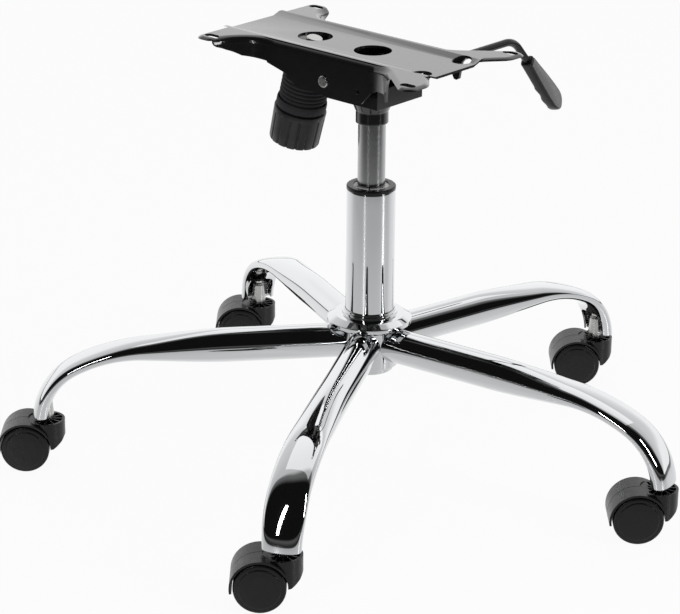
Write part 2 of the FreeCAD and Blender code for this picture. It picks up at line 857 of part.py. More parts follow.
pivot_through = cylinder("pivot_through", d.pivot_rad + d.run_gap, 120, (d.pivot_x, -60, d.pivot_z), "Y")
lever_through = cylinder("lever_through", d.lever_rad + 0.45, 60, (d.lever_x, 0, d.pivot_z), "Y")


def on_bolt(item, distance, across=0):
    """Puts an object on the leaning bolt line, its Z along the bolt, upwards."""
    at = (d.bolt_x - lean_sin * distance + lean_cos * across, 0,
          d.bolt_z - lean_cos * distance - lean_sin * across)
    return place(item, at, (0, 1, 0), d.bolt_lean)


slot_back = on_bolt(cylinder("seat_slot_back", 7, 30), d.spring_top + 15, 3)
slot_front = on_bolt(cylinder("seat_slot_front", 7, 30), d.spring_top + 15, -15)
slot_mid = doc.addObject("Part::Box", "seat_slot_mid")
for prop, value in (("Length", 18), ("Width", 14), ("Height", 30)):
    bind(slot_mid, prop, value)
place(slot_mid, (d.bolt_x - lean_sin * (d.spring_top + 15) - lean_cos * 15, -7,
                 d.bolt_z - lean_cos * (d.spring_top + 15) + lean_sin * 15), (0, 1, 0), d.bolt_lean)
piece(cut("lower_bracket", pan_outer, [
    pan_inner, socket_through, pivot_through, lever_through, slot_back, slot_mid, slot_front,
]), "lower_bracket")

# seat plate: a pressed tray with ears, a central channel and side walls
plate_low = d.bracket_low - 4
ear_inner_front = d.plate_front - 26
flare_front = d.plate_front - 39
ear_inner_rear = d.plate_rear - 18
flare_rear = d.plate_rear - 72
plate_half = [
    (-d.plate_front, d.ear_half),
    (-ear_inner_front, d.ear_half),
    (-flare_front, d.neck_half),
    (flare_rear, d.neck_half),
    (ear_inner_rear, d.ear_half),
    (d.plate_rear, d.ear_half),
    (d.plate_rear, d.ear_half - 30),
    (d.plate_waist, d.channel_mouth - 3),
]
tray = plan_prism("tray", mirrored(plate_half), d.plate_top - plate_low, plate_low)
doc.recompute()


def both(corners):
    return [(across, sign * float(along)) for across, along in corners for sign in (1, -1)]


for step_name, radius, chosen in (
    ("tray_flares", d.flare_rad, [plate_half[2], plate_half[3]]),
    ("tray_ear_inner", d.ear_round - 4, [plate_half[1], plate_half[4]]),
    ("tray_ear_outer", d.ear_round, [plate_half[0], plate_half[5]]),
    ("tray_waist", d.flare_rad * 0.5, [plate_half[6], plate_half[7]]),
):
    tip = tray.Tip
    names = upright_edges(tip.Shape, both(chosen))
    fillet = tray.newObject("PartDesign::Fillet", step_name)
    fillet.Base = (tip, names)
    bind(fillet, "Radius", radius)
    tray.Tip = fillet
    doc.recompute()

top_face = max(range(len(tray.Tip.Shape.Faces)), key=lambda n: tray.Tip.Shape.Faces[n].CenterOfMass.z)
last = tray.Tip
rolled = tray.newObject("PartDesign::Fillet", "tray_rolled_edge")
rolled.Base = (last, [f"Face{top_face + 1}"])
bind(rolled, "Radius", d.edge_round)
tray.Tip = rolled
doc.recompute()
bottom_face = min(range(len(rolled.Shape.Faces)), key=lambda n: rolled.Shape.Faces[n].CenterOfMass.z)
shell = tray.newObject("PartDesign::Thickness", "tray_shell")
shell.Base = (rolled, [f"Face{bottom_face + 1}"])
bind(shell, "Value", d.metal)
shell.Reversed = True
shell.Mode = 0
shell.Join = 0
tray.Tip = shell
doc.recompute()

under = d.plate_top - d.metal
skirt = [
    (-d.plate_front - 5, d.plate_top + 1),
    (-d.plate_front - 5, under - 0.1),
    (-d.plate_front + 25, under - 0.1),
    (-d.plate_front + 28.5, d.plate_top - 9),
    (-d.plate_front + 32, d.plate_top - 13),
    (-d.plate_front + 41, d.plate_top - 19.6),
    (-d.plate_front + 59, d.plate_top - 22.5),
    (-d.plate_front + 73, d.plate_top - 24.5),
    (-d.plate_front + 86, d.plate_top - 29.1),
    (-d.plate_front + 104, d.pivot_z - 13.4),
    (d.pivot_x + 9, d.pivot_z - 14.2),
    (d.lever_x + 6, d.pivot_z - 13.2),
    (d.lever_x + 17, d.pivot_z - 1),
    (d.lever_x + 27, d.plate_top - 25.6),
    (d.lever_x + 40, d.plate_top - 24.6),
    (d.lever_x + 42, d.plate_top - 30.6),
    (d.lever_x + 44, d.plate_top - 31.6),
    (d.lever_x + 46, d.plate_top - 30.6),
    (d.lever_x + 48, d.plate_top - 14),
    (d.lever_x + 53, d.plate_top - 6),
    (d.lever_x + 60, under - 0.1),
    (d.plate_rear + 5, under - 0.1),
    (d.plate_rear + 5, d.plate_top + 1),
]
walls = common("plate_walls", [tray, side_prism("skirt_line", skirt, d.ear_half + 5)])


def channel(name, mouth, floor, top, low):
    """A long trapezoid bar along X under the plate's top."""
    body = doc.addObject("PartDesign::Body", name)
    outline = [(mouth, top), (floor, low), (-floor, low), (-mouth, top)]
    sketch = sketch_on(body, "YZ_Plane", outline)
    pad = body.newObject("PartDesign::Pad", f"{name}_pad")
    pad.Profile = sketch
    bind(pad, "Length", d.plate_front + d.plate_rear + 20)
    return place(body, (-d.plate_front - 10, 0, 0))


channel_low = d.plate_top - d.channel_deep
slope = (d.channel_mouth - d.channel_floor) / d.channel_deep
side_shift = 4.7
channel_in = channel("channel_in", d.channel_mouth + slope, d.channel_floor, d.plate_top + 1, channel_low)
channel_out = channel("channel_out", d.channel_mouth + side_shift, d.channel_floor + side_shift - slope * d.metal,
                      d.plate_top, channel_low - d.metal)
plan_limit = plan_prism("plan_limit", mirrored([
    (-d.plate_front, d.neck_half),
    (d.plate_waist, d.neck_half),
]), 40, d.plate_top - 30)
channel_bar = common("channel_bar", [channel_out, plan_limit])


def cup(name, radius, deep, height):
    """A round tool on the bolt line, its low end at the given distance."""
    return on_bolt(cylinder(name, radius, height), deep)


dish_floor = 3.5
dish_block = cup("dish_block", d.dish_rad + d.metal, d.metal + dish_floor, 14)
dish_limit = plan_prism("dish_limit", mirrored([(-d.plate_front, d.neck_half), (0, d.neck_half)]), 40,
                        channel_low - 40)
dish = common("dish", [dish_block, dish_limit])
plate_solid = fuse("plate_solid", [walls, channel_bar])
plate_open = cut("plate_open", plate_solid, [channel_in])
plate_dished = fuse("plate_dished", [plate_open, dish])


def seat_slot(name, across, along):
    """An oblong bolt slot, long way along X."""
    half = (d.slot_long - d.slot_wide) / 2
    rad = d.slot_wide / 2
    low = d.plate_top - 10
    first = cylinder(f"{name}_a", rad, 20, (across - half, along, low))
    second = cylinder(f"{name}_b", rad, 20, (across + half, along, low))
    middle = box(f"{name}_c", (2 * half, d.slot_wide, 20), (across - half, along - rad, low))
    return fuse(name, [first, second, middle])


plate_cuts = [
    cup("dish_room", d.dish_rad, dish_floor, 20),
    cup("dish_hole", d.bolt_rad, 20, 20),
    cylinder("plate_eye", d.eye_rad, 30, (0, 0, d.plate_top - 20)),
    cylinder("light_left", 10, 30, (88, 30, d.plate_top - 20)),
    cylinder("light_right", 10, 30, (88, -30, d.plate_top - 20)),
    cylinder("plate_pivot", d.pivot_rad, 120, (d.pivot_x, -60, d.pivot_z), "Y"),
    box("lever_window", (16, 12, 28), (d.lever_x - 8, d.neck_half - 8, d.pivot_z - 7)),
    cylinder("wall_mark", 2.5, 12, (21, -d.neck_half - 4, d.pivot_z - 2), "Y"),
]
for side_name, sign in (("left", 1), ("right", -1)):
    plate_cuts.append(seat_slot(f"slot_front_{side_name}", -d.slot_front_x, sign * d.slot_y))
    plate_cuts.append(seat_slot(f"slot_rear_{side_name}", d.slot_rear_x, sign * d.slot_y))
piece(cut("seat_plate", plate_dished, plate_cuts), "seat_plate")

# tilt pivot
pin_half = d.neck_half + 2
piece(turned("pivot_pin", [
    (0, -pin_half),
    (d.pivot_rad - 0.8, -pin_half),
    (d.pivot_rad, -pin_half + 0.8),
    (d.pivot_rad, pin_half - 0.8),
    (d.pivot_rad - 0.8, pin_half),
    (0, pin_half),
], at=(d.pivot_x, 0, d.pivot_z), axis=(1, 0, 0), turn=-90), "pivot_pin")
bush_low = d.bracket_half + d.seat_gap
bush_long = d.neck_half - d.metal - bush_low
bushes = []
for side_name, start in (("left", bush_low), ("right", -bush_low - bush_long)):
    outer = cylinder(f"bush_{side_name}_outer", d.pivot_rad + 3.5, bush_long, (d.pivot_x, start, d.pivot_z), "Y")
    inner = cylinder(f"bush_{side_name}_inner", d.pivot_rad, bush_long, (d.pivot_x, start, d.pivot_z), "Y")
    bushes.append(cut(f"bush_{side_name}", outer, [inner]))
bush_pair = doc.addObject("Part::Compound", "pivot_bushes")
bush_pair.Links = bushes
piece(bush_pair, "pivot_bushes")

# tension unit on the leaning bolt
bolt_end = d.knob_top + d.knob_long - 15.5
piece(on_bolt(turned("tension_bolt", [
    (0, 0),
    (d.bolt_rad - 1, 0),
    (d.bolt_rad, 1),
    (d.bolt_rad, bolt_end - dish_floor),
    (d.head_rad, bolt_end - dish_floor),
    (d.head_rad, bolt_end - dish_floor + 4),
    (d.head_rad - 1.2, bolt_end - dish_floor + 5),
    (0, bolt_end - dish_floor + 5),
]), bolt_end), "tension_bolt")

boot_long = d.knob_top - d.spring_top - 2 * d.seat_gap
bulge = 11.0
boot_line = [(d.boot_valley, 0), (d.boot_rad + 1, 1.5), (d.boot_rad + 1, bulge - 2.5), (d.boot_valley, bulge)]
ring_pitch = (boot_long - bulge) / BOOT_RINGS
for number in range(BOOT_RINGS):
    low = bulge + ring_pitch * number
    boot_line.append((d.boot_rad, low + ring_pitch * 0.35))
    boot_line.append((d.boot_rad, low + ring_pitch * 0.65))
    boot_line.append((d.boot_valley, low + ring_pitch))
boot_back = [(d.boot_valley - d.boot_wall, boot_long), (d.boot_valley - d.boot_wall, 0)]
piece(on_bolt(turned("spring_boot", boot_line + boot_back), d.knob_top - d.seat_gap), "spring_boot")

washer_thick = 2.0
coil_long = float(boot_long) - 2 * float(d.wire_rad) - 0.4
COIL_TURNS = 5
COIL_STEPS = 12


def coil_ring(step):
    """The wire's round section at one step of the coil."""
    angle = 360 / COIL_STEPS * step
    ring = Part.makeCircle(float(d.wire_rad), Vector(float(d.coil_rad), 0, 0), Vector(0, 1, 0))
    ring.translate(Vector(0, 0, coil_long * step / (COIL_TURNS * COIL_STEPS)))
    ring.rotate(Vector(0, 0, 0), Vector(0, 0, 1), angle)
    return Part.Wire(ring)


coil_rings = [coil_ring(step) for step in range(COIL_TURNS * COIL_STEPS + 1)]
spring = doc.addObject("Part::Feature", "tension_spring")
spring.Shape = Part.makeLoft(coil_rings, True, True)
on_bolt(spring, d.knob_top - d.seat_gap - d.wire_rad - 0.2)
piece(spring, "tension_spring")

knob_bore = d.bolt_rad + d.run_gap
piece(on_bolt(turned("thrust_washer", [
    (knob_bore, 0),
    (d.coil_rad + 3, 0),
    (d.coil_rad + 3, washer_thick),
    (knob_bore, washer_thick),
]), d.knob_top + washer_thick), "thrust_washer")

knob = turned("tension_knob", [
    (knob_bore, 6),
    (0, 6),
    (0, 2.5),
    (d.knob_rad - 9, 2.5),
    (d.knob_rad - 8, 0),
    (d.knob_rad - 2.5, 0),
    (d.knob_rad - 0.8, 1.2),
    (d.knob_rad, 4),
    (d.knob_rad, d.knob_long - 3),
    (d.knob_rad - 2, d.knob_long - 0.6),
    (d.coil_rad + 5, d.knob_long),
    (d.coil_rad + 4, d.knob_long - washer_thick - d.seat_gap),
    (knob_bore, d.knob_long - washer_thick - d.seat_gap),
])
doc.recompute()
flute_sketch = knob.newObject("Sketcher::SketchObject", "knob_flute")
knob_plane = [item for item in knob.Origin.OriginFeatures if item.Role == "XY_Plane"][0]
flute_sketch.AttachmentSupport = [(knob_plane, "")]
flute_sketch.MapMode = "FlatFace"
flute_at = d.knob_rad + 1.6
flute_sketch.addGeometry(Part.Circle(Vector(flute_at.number, 0, 0), Vector(0, 0, 1), 2.6), False)
flute_sketch.addConstraint(Sketcher.Constraint("PointOnObject", 0, 3, -1))
spot = flute_sketch.addConstraint(Sketcher.Constraint("DistanceX", -1, 1, 0, 3, flute_at.number))
flute_sketch.setExpression(f"Constraints[{spot}]", flute_at.formula)
flute_sketch.addConstraint(Sketcher.Constraint("Radius", 0, 2.6))
flute = knob.newObject("PartDesign::Pocket", "knob_flute_pocket")
flute.Profile = flute_sketch
flute.Reversed = True
bind(flute, "Length", d.knob_long - 4)
doc.recompute()
flutes = knob.newObject("PartDesign::PolarPattern", "knob_flutes")
flutes.Originals = [flute]
flutes.Axis = (flute_sketch, ["N_Axis"])
flutes.Angle = 360
flutes.Occurrences = KNOB_FLUTES
knob.Tip = flutes
piece(on_bolt(knob, d.knob_top + d.knob_long), "tension_knob")

# height lever: a bent rod through the bracket wall and a moulded paddle
drop = math.radians(float(d.grip_drop))
lever_z = float(d.pivot_z)
corner_in = Vector(float(d.lever_x), 0, lever_z)
corner_out = Vector(float(d.lever_x), float(d.lever_reach), lever_z)
out_way = Vector(0, math.cos(drop), -math.sin(drop))


def rounded_wire(points, radii):
    """Straight runs joined by arcs, one radius for each inner corner."""
    edges = []
    start = points[0]
    for before, corner, after, radius in zip(points, points[1:], points[2:], radii):
        inward = (before - corner).normalize()
        onward = (after - corner).normalize()
        half_angle = inward.getAngle(onward) / 2
        run = radius / math.tan(half_angle)
        first = corner + inward * run
        second = corner + onward * run
        middle_way = (inward + onward).normalize()
        middle = corner + middle_way * (radius / math.sin(half_angle) - radius)
        edges.append(Part.makeLine(start, first))
        edges.append(Part.Arc(first, middle, second).toShape())
        start = second
    edges.append(Part.makeLine(start, points[-1]))
    return Part.Wire(edges)


lever_line = rounded_wire([
    Vector(float(d.lever_tip), 0, lever_z),
    corner_in,
    corner_out,
    corner_out + out_way * float(d.grip_start + d.grip_long * 0.6),
], (float(d.lever_bend), float(d.lever_crook)))
rod_end = Part.Wire(Part.makeCircle(float(d.lever_rad), Vector(float(d.lever_tip), 0, lever_z), Vector(1, 0, 0)))
lever_rod = doc.addObject("Part::Feature", "lever_rod")
lever_rod.Shape = lever_line.makePipeShell([rod_end], True, True)
piece(lever_rod, "lever_rod")


def grip_section(share, wide, thick, power=2.6):
    """A rounded section of the paddle, broad in the lever's own plane."""
    centre = corner_out + out_way * float(d.grip_start + d.grip_long * share)
    up_way = Vector(0, math.sin(drop), math.cos(drop))
    points = []
    for step in range(12):
        side, rise = squared_circle(step, 12, power)
        across = up_way * (side * wide * float(d.grip_wide) / 2)
        points.append(centre + across + Vector(rise * thick * float(d.grip_thick) / 2, 0, 0))
    return closed_curve(points)


grip_blank = doc.addObject("Part::Feature", "grip_blank")
grip_blank.Shape = Part.makeLoft([
    grip_section(0, 0.46, 0.88, 2.2),
    grip_section(0.2, 0.54, 0.96),
    grip_section(0.5, 0.80, 1),
    grip_section(0.75, 1, 0.98),
    grip_section(0.91, 0.86, 0.84),
    grip_section(1, 0.42, 0.44, 2.2),
], True, False)
rod_room = doc.addObject("Part::Feature", "grip_bore")
rod_room.Shape = lever_rod.Shape.copy()
piece(cut("lever_handle", grip_blank, [rod_room]), "lever_handle")

# checks and export
doc.recompute()
for item in doc.Objects:
    if "Invalid" in item.State or "Error" in item.State:
        raise RuntimeError(f"{item.Name} did not build: {item.State}")
os.makedirs("parts", exist_ok=True)
for item in pieces:
    shape = item.Shape
    if shape.isNull() or not shape.isValid() or not shape.Solids:
        raise RuntimeError(f"{item.Label} is not a sound solid")
    shape.exportStep(f"parts/{item.Label}.step")
print(len(pieces), "pieces")
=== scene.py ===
"""Looks of an office chair base: chromed star base, casters, gas lift and tilt mechanism."""

import json
import logging
import math
from dataclasses import dataclass
from enum import Enum
from typing import List, Sequence, Tuple, Union

import bmesh
import bpy
from mathutils import Matrix, Vector

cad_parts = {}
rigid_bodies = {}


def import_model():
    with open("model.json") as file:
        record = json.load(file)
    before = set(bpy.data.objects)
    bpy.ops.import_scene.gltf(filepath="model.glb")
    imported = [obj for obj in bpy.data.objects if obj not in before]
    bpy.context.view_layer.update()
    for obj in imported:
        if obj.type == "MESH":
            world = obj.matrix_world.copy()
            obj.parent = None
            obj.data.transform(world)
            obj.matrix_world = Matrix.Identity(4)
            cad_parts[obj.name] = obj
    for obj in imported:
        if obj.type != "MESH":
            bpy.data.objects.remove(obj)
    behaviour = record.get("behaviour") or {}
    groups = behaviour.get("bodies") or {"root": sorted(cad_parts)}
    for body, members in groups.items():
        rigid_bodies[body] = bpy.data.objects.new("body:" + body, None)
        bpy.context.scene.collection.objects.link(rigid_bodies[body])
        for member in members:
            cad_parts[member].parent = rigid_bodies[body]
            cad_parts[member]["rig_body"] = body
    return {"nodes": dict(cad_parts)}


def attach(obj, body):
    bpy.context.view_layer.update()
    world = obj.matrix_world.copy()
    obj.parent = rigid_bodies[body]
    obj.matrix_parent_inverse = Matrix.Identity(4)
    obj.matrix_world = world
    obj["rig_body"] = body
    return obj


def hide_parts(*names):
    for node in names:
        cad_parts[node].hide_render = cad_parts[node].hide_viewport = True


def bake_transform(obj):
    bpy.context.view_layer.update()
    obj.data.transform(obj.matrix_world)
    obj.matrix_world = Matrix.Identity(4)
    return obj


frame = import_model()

Point = Tuple[float, float]
Outline = Tuple[Point, ...]

LOG = logging.getLogger("chair_base")
MM = 0.001
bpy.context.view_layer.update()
# the part of 0 to 1 that noise values mostly fill
NOISE_SPAN = (0.3, 0.7)


class Slot(Enum):
    """Material slots of the record."""

    CHROME = "bright_chrome"
    STEEL = "plain_steel"
    GREY_STEEL = "grey_steel"
    COAT = "black_coat"
    NYLON = "black_nylon"
    ACETAL = "pale_acetal"
    RUBBER = "black_rubber"


class NodeTree:
    """A small helper that adds and links the shader nodes of a material or a world."""

    def __init__(self, owner: Union[bpy.types.Material, bpy.types.World]) -> None:
        owner.use_nodes = True
        self.nodes = owner.node_tree.nodes
        self.links = owner.node_tree.links
        self.shader = self.nodes.get("Principled BSDF")

    def add(self, kind: str, **values: object) -> bpy.types.Node:
        """Adds a node and sets its named inputs.

        Args:
            kind: the node's type name.
            **values: input values by name, with underscores for spaces.

        Returns:
            The new node.
        """
        node = self.nodes.new(kind)
        for name, value in values.items():
            node.inputs[name.replace("_", " ")].default_value = value
        return node

    def link(self, source: bpy.types.NodeSocket, target: bpy.types.NodeSocket) -> None:
        """Joins two sockets."""
        self.links.new(source, target)

    def object_noise(self, scale: float, detail: float = 3.0) -> bpy.types.Node:
        """Noise on Object coordinates.

        Args:
            scale: spots per metre.
            detail: octaves.

        Returns:
            The noise node.
        """
        place = self.add("ShaderNodeTexCoord")
        noise = self.add("ShaderNodeTexNoise", Scale=scale, Detail=detail)
        self.link(place.outputs["Object"], noise.inputs["Vector"])
        return noise

    def spread(self, source: bpy.types.NodeSocket, low: float, high: float) -> bpy.types.NodeSocket:
        """Maps a 0 to 1 value onto a range.

        Returns:
            The mapped socket.
        """
        first, last = NOISE_SPAN
        span = self.add("ShaderNodeMapRange", From_Min=first, From_Max=last, To_Min=low, To_Max=high)
        self.link(source, span.inputs["Value"])
        return span.outputs["Result"]

    def ramp(self, source: bpy.types.NodeSocket, stops: Sequence[Point]) -> bpy.types.NodeSocket:
        """A grey ramp through (place, level) stops from 0 to 1, with levels up to 1.

        Args:
            source: the value from 0 to 1 that is looked up.
            stops: places with their levels; the first is 0 and the last is 1.

        Returns:
            The ramp's colour socket.
        """
        bands = self.add("ShaderNodeValToRGB")
        colours = bands.color_ramp
        colours.interpolation = "EASE"
        for where, level in stops:
            ends = {0.0: colours.elements[0], 1.0: colours.elements[-1]}
            element = ends.get(where) or colours.elements.new(where)
            element.color = (level, level, level, 1.0)
        self.link(source, bands.inputs["Fac"])
        return bands.outputs["Color"]

    def along(self, coordinates: str, way: Vector) -> bpy.types.NodeSocket:
        """How far a place lies along a direction.

        Args:
            coordinates: the texture coordinate's output.
            way: the direction.

        Returns:
            The distance's socket.
        """
        place = self.add("ShaderNodeTexCoord")
        product = self.add("ShaderNodeVectorMath")
        product.operation = "DOT_PRODUCT"
        product.inputs[1].default_value = way
        self.link(place.outputs[coordinates], product.inputs[0])
        return product.outputs["Value"]

    def mix(self, share: bpy.types.NodeSocket, first: bpy.types.NodeSocket,
            second: bpy.types.NodeSocket) -> bpy.types.NodeSocket:
        """Mixes two shaders.

        Args:
            share: 0 shows the first shader and 1 the second.
            first: a shader's socket.
            second: a shader's socket.

        Returns:
            The mixed shader's socket.
        """
        mixed = self.add("ShaderNodeMixShader")
        self.link(share, mixed.inputs["Fac"])
        self.link(first, mixed.inputs[1])
        self.link(second, mixed.inputs[2])
        return mixed.outputs["Shader"]


@dataclass(frozen=True)
class Finish:
    """A surface: base colour, metalness and how rough and grainy it is."""

    name: str
    slot: Slot
    colour: Tuple[float, float, float]
    metallic: float = 0.0
    rough_low: float = 0.3
    rough_high: float = 0.35
    grain_scale: float = 300.0
    bump: float = 0.0
    bump_scale: float = 900.0
    bump_depth: float = 0.0004
    coat: float = 0.0
    coat_roughness: float = 0.04
    specular: float = 0.5

    def build(self) -> bpy.types.Material:
        """Makes the node material once.

        Returns:
            The material.
        """
        ready = bpy.data.materials.get(self.name)
        if ready:
            return ready
        material = bpy.data.materials.new(self.name)
        tree = NodeTree(material)
        shader = tree.shader
        shader.inputs["Base Color"].default_value = (*self.colour, 1.0)
        shader.inputs["Metallic"].default_value = self.metallic
        shader.inputs["Coat Weight"].default_value = self.coat
        shader.inputs["Coat Roughness"].default_value = self.coat_roughness
        shader.inputs["Specular IOR Level"].default_value = self.specular
        grain = tree.object_noise(self.grain_scale).outputs["Fac"]
        tree.link(tree.spread(grain, self.rough_low, self.rough_high), shader.inputs["Roughness"])
        if self.bump > 0.0:
            fine = tree.object_noise(self.bump_scale, detail=4.0)
            relief = tree.add("ShaderNodeBump", Strength=self.bump, Distance=self.bump_depth)
            tree.link(fine.outputs["Fac"], relief.inputs["Height"])
            tree.link(relief.outputs["Normal"], shader.inputs["Normal"])
        return material


CHROME = Finish("mirror_chrome", Slot.CHROME, (0.66, 0.67, 0.68), metallic=1.0,
                rough_low=0.02, rough_high=0.04, grain_scale=40.0)
STEEL = Finish("zinc_steel", Slot.STEEL, (0.52, 0.52, 0.51), metallic=1.0,
               rough_low=0.22, rough_high=0.32, grain_scale=220.0)
GREY_STEEL = Finish("ground_steel", Slot.GREY_STEEL, (0.40, 0.405, 0.41), metallic=1.0,
                    rough_low=0.20, rough_high=0.26, grain_scale=160.0)
COAT = Finish("gloss_black_coat", Slot.COAT, (0.008, 0.008, 0.009), rough_low=0.16, rough_high=0.20,
              grain_scale=120.0, bump=0.04, bump_scale=700.0, coat=0.6)
ROD_COAT = Finish("rod_black_coat", Slot.COAT, (0.006, 0.006, 0.0065), rough_low=0.18, rough_high=0.24,
                  grain_scale=120.0, bump=0.03, bump_scale=700.0, specular=0.3)
NYLON = Finish("satin_nylon", Slot.NYLON, (0.005, 0.005, 0.0053), rough_low=0.26, rough_high=0.34,
               grain_scale=200.0, bump=0.10, bump_scale=1800.0, specular=0.34)
KNOB_NYLON = Finish("knob_nylon", Slot.NYLON, (0.016, 0.016, 0.017), rough_low=0.36, rough_high=0.44,
                    grain_scale=200.0, bump=0.12, bump_scale=1800.0)
GREY_NYLON = Finish("grey_nylon", Slot.NYLON, (0.17, 0.17, 0.175), rough_low=0.30, rough_high=0.38,
                    grain_scale=200.0, bump=0.06, bump_scale=1500.0)
ACETAL = Finish("pale_acetal", Slot.ACETAL, (0.50, 0.50, 0.48), rough_low=0.35, rough_high=0.45,
                grain_scale=200.0)
RUBBER = Finish("black_rubber", Slot.RUBBER, (0.006, 0.006, 0.0063), rough_low=0.28, rough_high=0.36,
                grain_scale=260.0, bump=0.1, bump_scale=1500.0, specular=0.32)


# mesh helpers
def new_object(name: str, mesh: bpy.types.Mesh, finish: Finish) -> bpy.types.Object:
    """Links a mesh as an object with its finish.

    Args:
        name: the piece's name.
        mesh: its mesh, already in place.
        finish: its surface.

    Returns:
        The object.
    """
    mesh.materials.clear()
    mesh.materials.append(finish.build())
    item = bpy.data.objects.new(name, mesh)
    bpy.context.scene.collection.objects.link(item)
    return item


def mesh_of(name: str, bm: bmesh.types.BMesh, sharp: float = 32.0) -> bpy.types.Mesh:
    """Turns a bmesh into a smooth mesh with its sharp edges marked.

    Args:
        name: the mesh's name.
        bm: the geometry, which is freed.
        sharp: edges steeper than this many degrees stay sharp.

    Returns:
        The mesh.
    """
    bmesh.ops.recalc_face_normals(bm, faces=bm.faces)
    for face in bm.faces:
        face.smooth = True
    limit = math.radians(sharp)
    for edge in bm.edges:
        edge.smooth = not (len(edge.link_faces) == 2 and edge.calc_face_angle(0.0) > limit)
    mesh = bpy.data.meshes.new(name)
    bm.to_mesh(mesh)
    bm.free()
    return mesh


def bevel(item: bpy.types.Object, width: float, segments: int = 2, angle: float = 32.0) -> bpy.types.Object:
    """Rounds the sharp edges of a piece.

    Args:
        item: the piece.
        width: the bevel's width in metres.
        segments: how many steps.
        angle: only edges steeper than this, in degrees.

    Returns:
        The same object.
    """
    rounding = item.modifiers.new("edge_round", "BEVEL")
    rounding.width = width
    rounding.segments = segments
    rounding.limit_method = "ANGLE"
    rounding.angle_limit = math.radians(angle)
    evened = item.modifiers.new("even_shading", "WEIGHTED_NORMAL")
    evened.keep_sharp = True
    evened.weight = 80
    return item


def supported(profile: Sequence[Point], reach: float = 1.5) -> List[Point]:
    """Adds a point near both ends of each long run, so that rounded ends don't bend the shading of the run.

    Args:
        profile: the outline in millimetres.
        reach: how far from the ends the points go; runs under four times this stay as they are.

    Returns:
        The fuller outline.
    """
    fuller = [profile[0]]
    for start, end in zip(profile, profile[1:]):
        run = math.dist(start, end)
        if run > 4 * reach:
            for share in (reach / run, 1 - reach / run):
                fuller.append((start[0] + (end[0] - start[0]) * share, start[1] + (end[1] - start[1]) * share))
        fuller.append(end)
    return fuller


def turned(profile: Sequence[Point], rounding: float = 0.0, segments: int = 96) -> bmesh.types.BMesh:
    """Spins an outline of (radius, height) about Z and rounds its sharp edges.

    Args:
        profile: the outline in millimetres; a closed ring when its ends meet.
        rounding: edge rounding in millimetres, or 0.
        segments: steps round the axis.

    Returns:
        The geometry, in metres.
    """
    bm = bmesh.new()
    profile = supported(profile)
    closed = profile[0] == profile[-1]
    verts = [bm.verts.new((radius * MM, 0, height * MM)) for radius, height in profile[:len(profile) - closed]]
    edges = [bm.edges.new(pair) for pair in zip(verts, verts[1:] + verts[:1] * closed)]
    bmesh.ops.spin(bm, geom=verts + edges, axis=(0, 0, 1), cent=(0, 0, 0), angle=2 * math.pi, steps=segments,
                   use_merge=True)
    bmesh.ops.remove_doubles(bm, verts=bm.verts, dist=1e-7)
    bmesh.ops.recalc_face_normals(bm, faces=bm.faces)
    if rounding > 0:
        sharp = [edge for edge in bm.edges if edge.is_manifold and edge.calc_face_angle(0.0) > math.radians(25)]
        bmesh.ops.bevel(bm, geom=sharp, offset=rounding * MM, segments=3, profile=0.5, affect="EDGES",
                        clamp_overlap=True, material=-1)
    return bm


class Sweep:
    """A skin that grows ring by ring from a circle of vertices."""

    def __init__(self, around: int) -> None:
        self.bm = bmesh.new()
        self.ring = bmesh.ops.create_circle(self.bm, segments=around, radius=1.0)["verts"]
        self.edges = list(self.bm.edges)

    def start(self, spots: Sequence[Vector]) -> None:
        """Moves the first ring to its place, in millimetres."""
        for vert, spot in zip(self.ring, spots):
            vert.co = spot * MM

    def grow(self, spots: Sequence[Vector]) -> None:
        """Extrudes the last ring to the next place, in millimetres."""
        made = bmesh.ops.extrude_edge_only(self.bm, edges=self.edges)["geom"]
        fresh = {item for item in made if isinstance(item, bmesh.types.BMVert)}
        following = []
        for vert in self.ring:
            following.append(next(edge.other_vert(vert) for edge in vert.link_edges
                                  if edge.other_vert(vert) in fresh))
        self.ring = following
        self.edges = [item for item in made if isinstance(item, bmesh.types.BMEdge)
                      and item.verts[0] in fresh and item.verts[1] in fresh]
        self.start(spots)

    def run(self, rows: Sequence[Sequence[Vector]], capped: bool = True) -> bmesh.types.BMesh:
        """Builds a skin through every row.

        Args:
            rows: rings of points, in millimetres.
            capped: whether both ends are closed.

        Returns:
            The geometry.
        """
        self.start(rows[0])
        if capped:
            bmesh.ops.edgeloop_fill(self.bm, edges=self.edges)
        for row in rows[1:]:
            self.grow(row)
        if capped:
            bmesh.ops.edgeloop_fill(self.bm, edges=self.edges)
        return self.bm


def squared(angle: float, power: float) -> Point:
    """A place on a unit circle that grows squarer with the power."""
    side, rise = math.cos(angle), math.sin(angle)
    return (
        math.copysign(abs(side) ** (2 / power), side),
        math.copysign(abs(rise) ** (2 / power), rise),
    )


def ease(value: float) -> float:
    """Smooth step from 0 to 1."""
    value = min(1.0, max(0.0, value))
    return value * value * (3 - 2 * value)


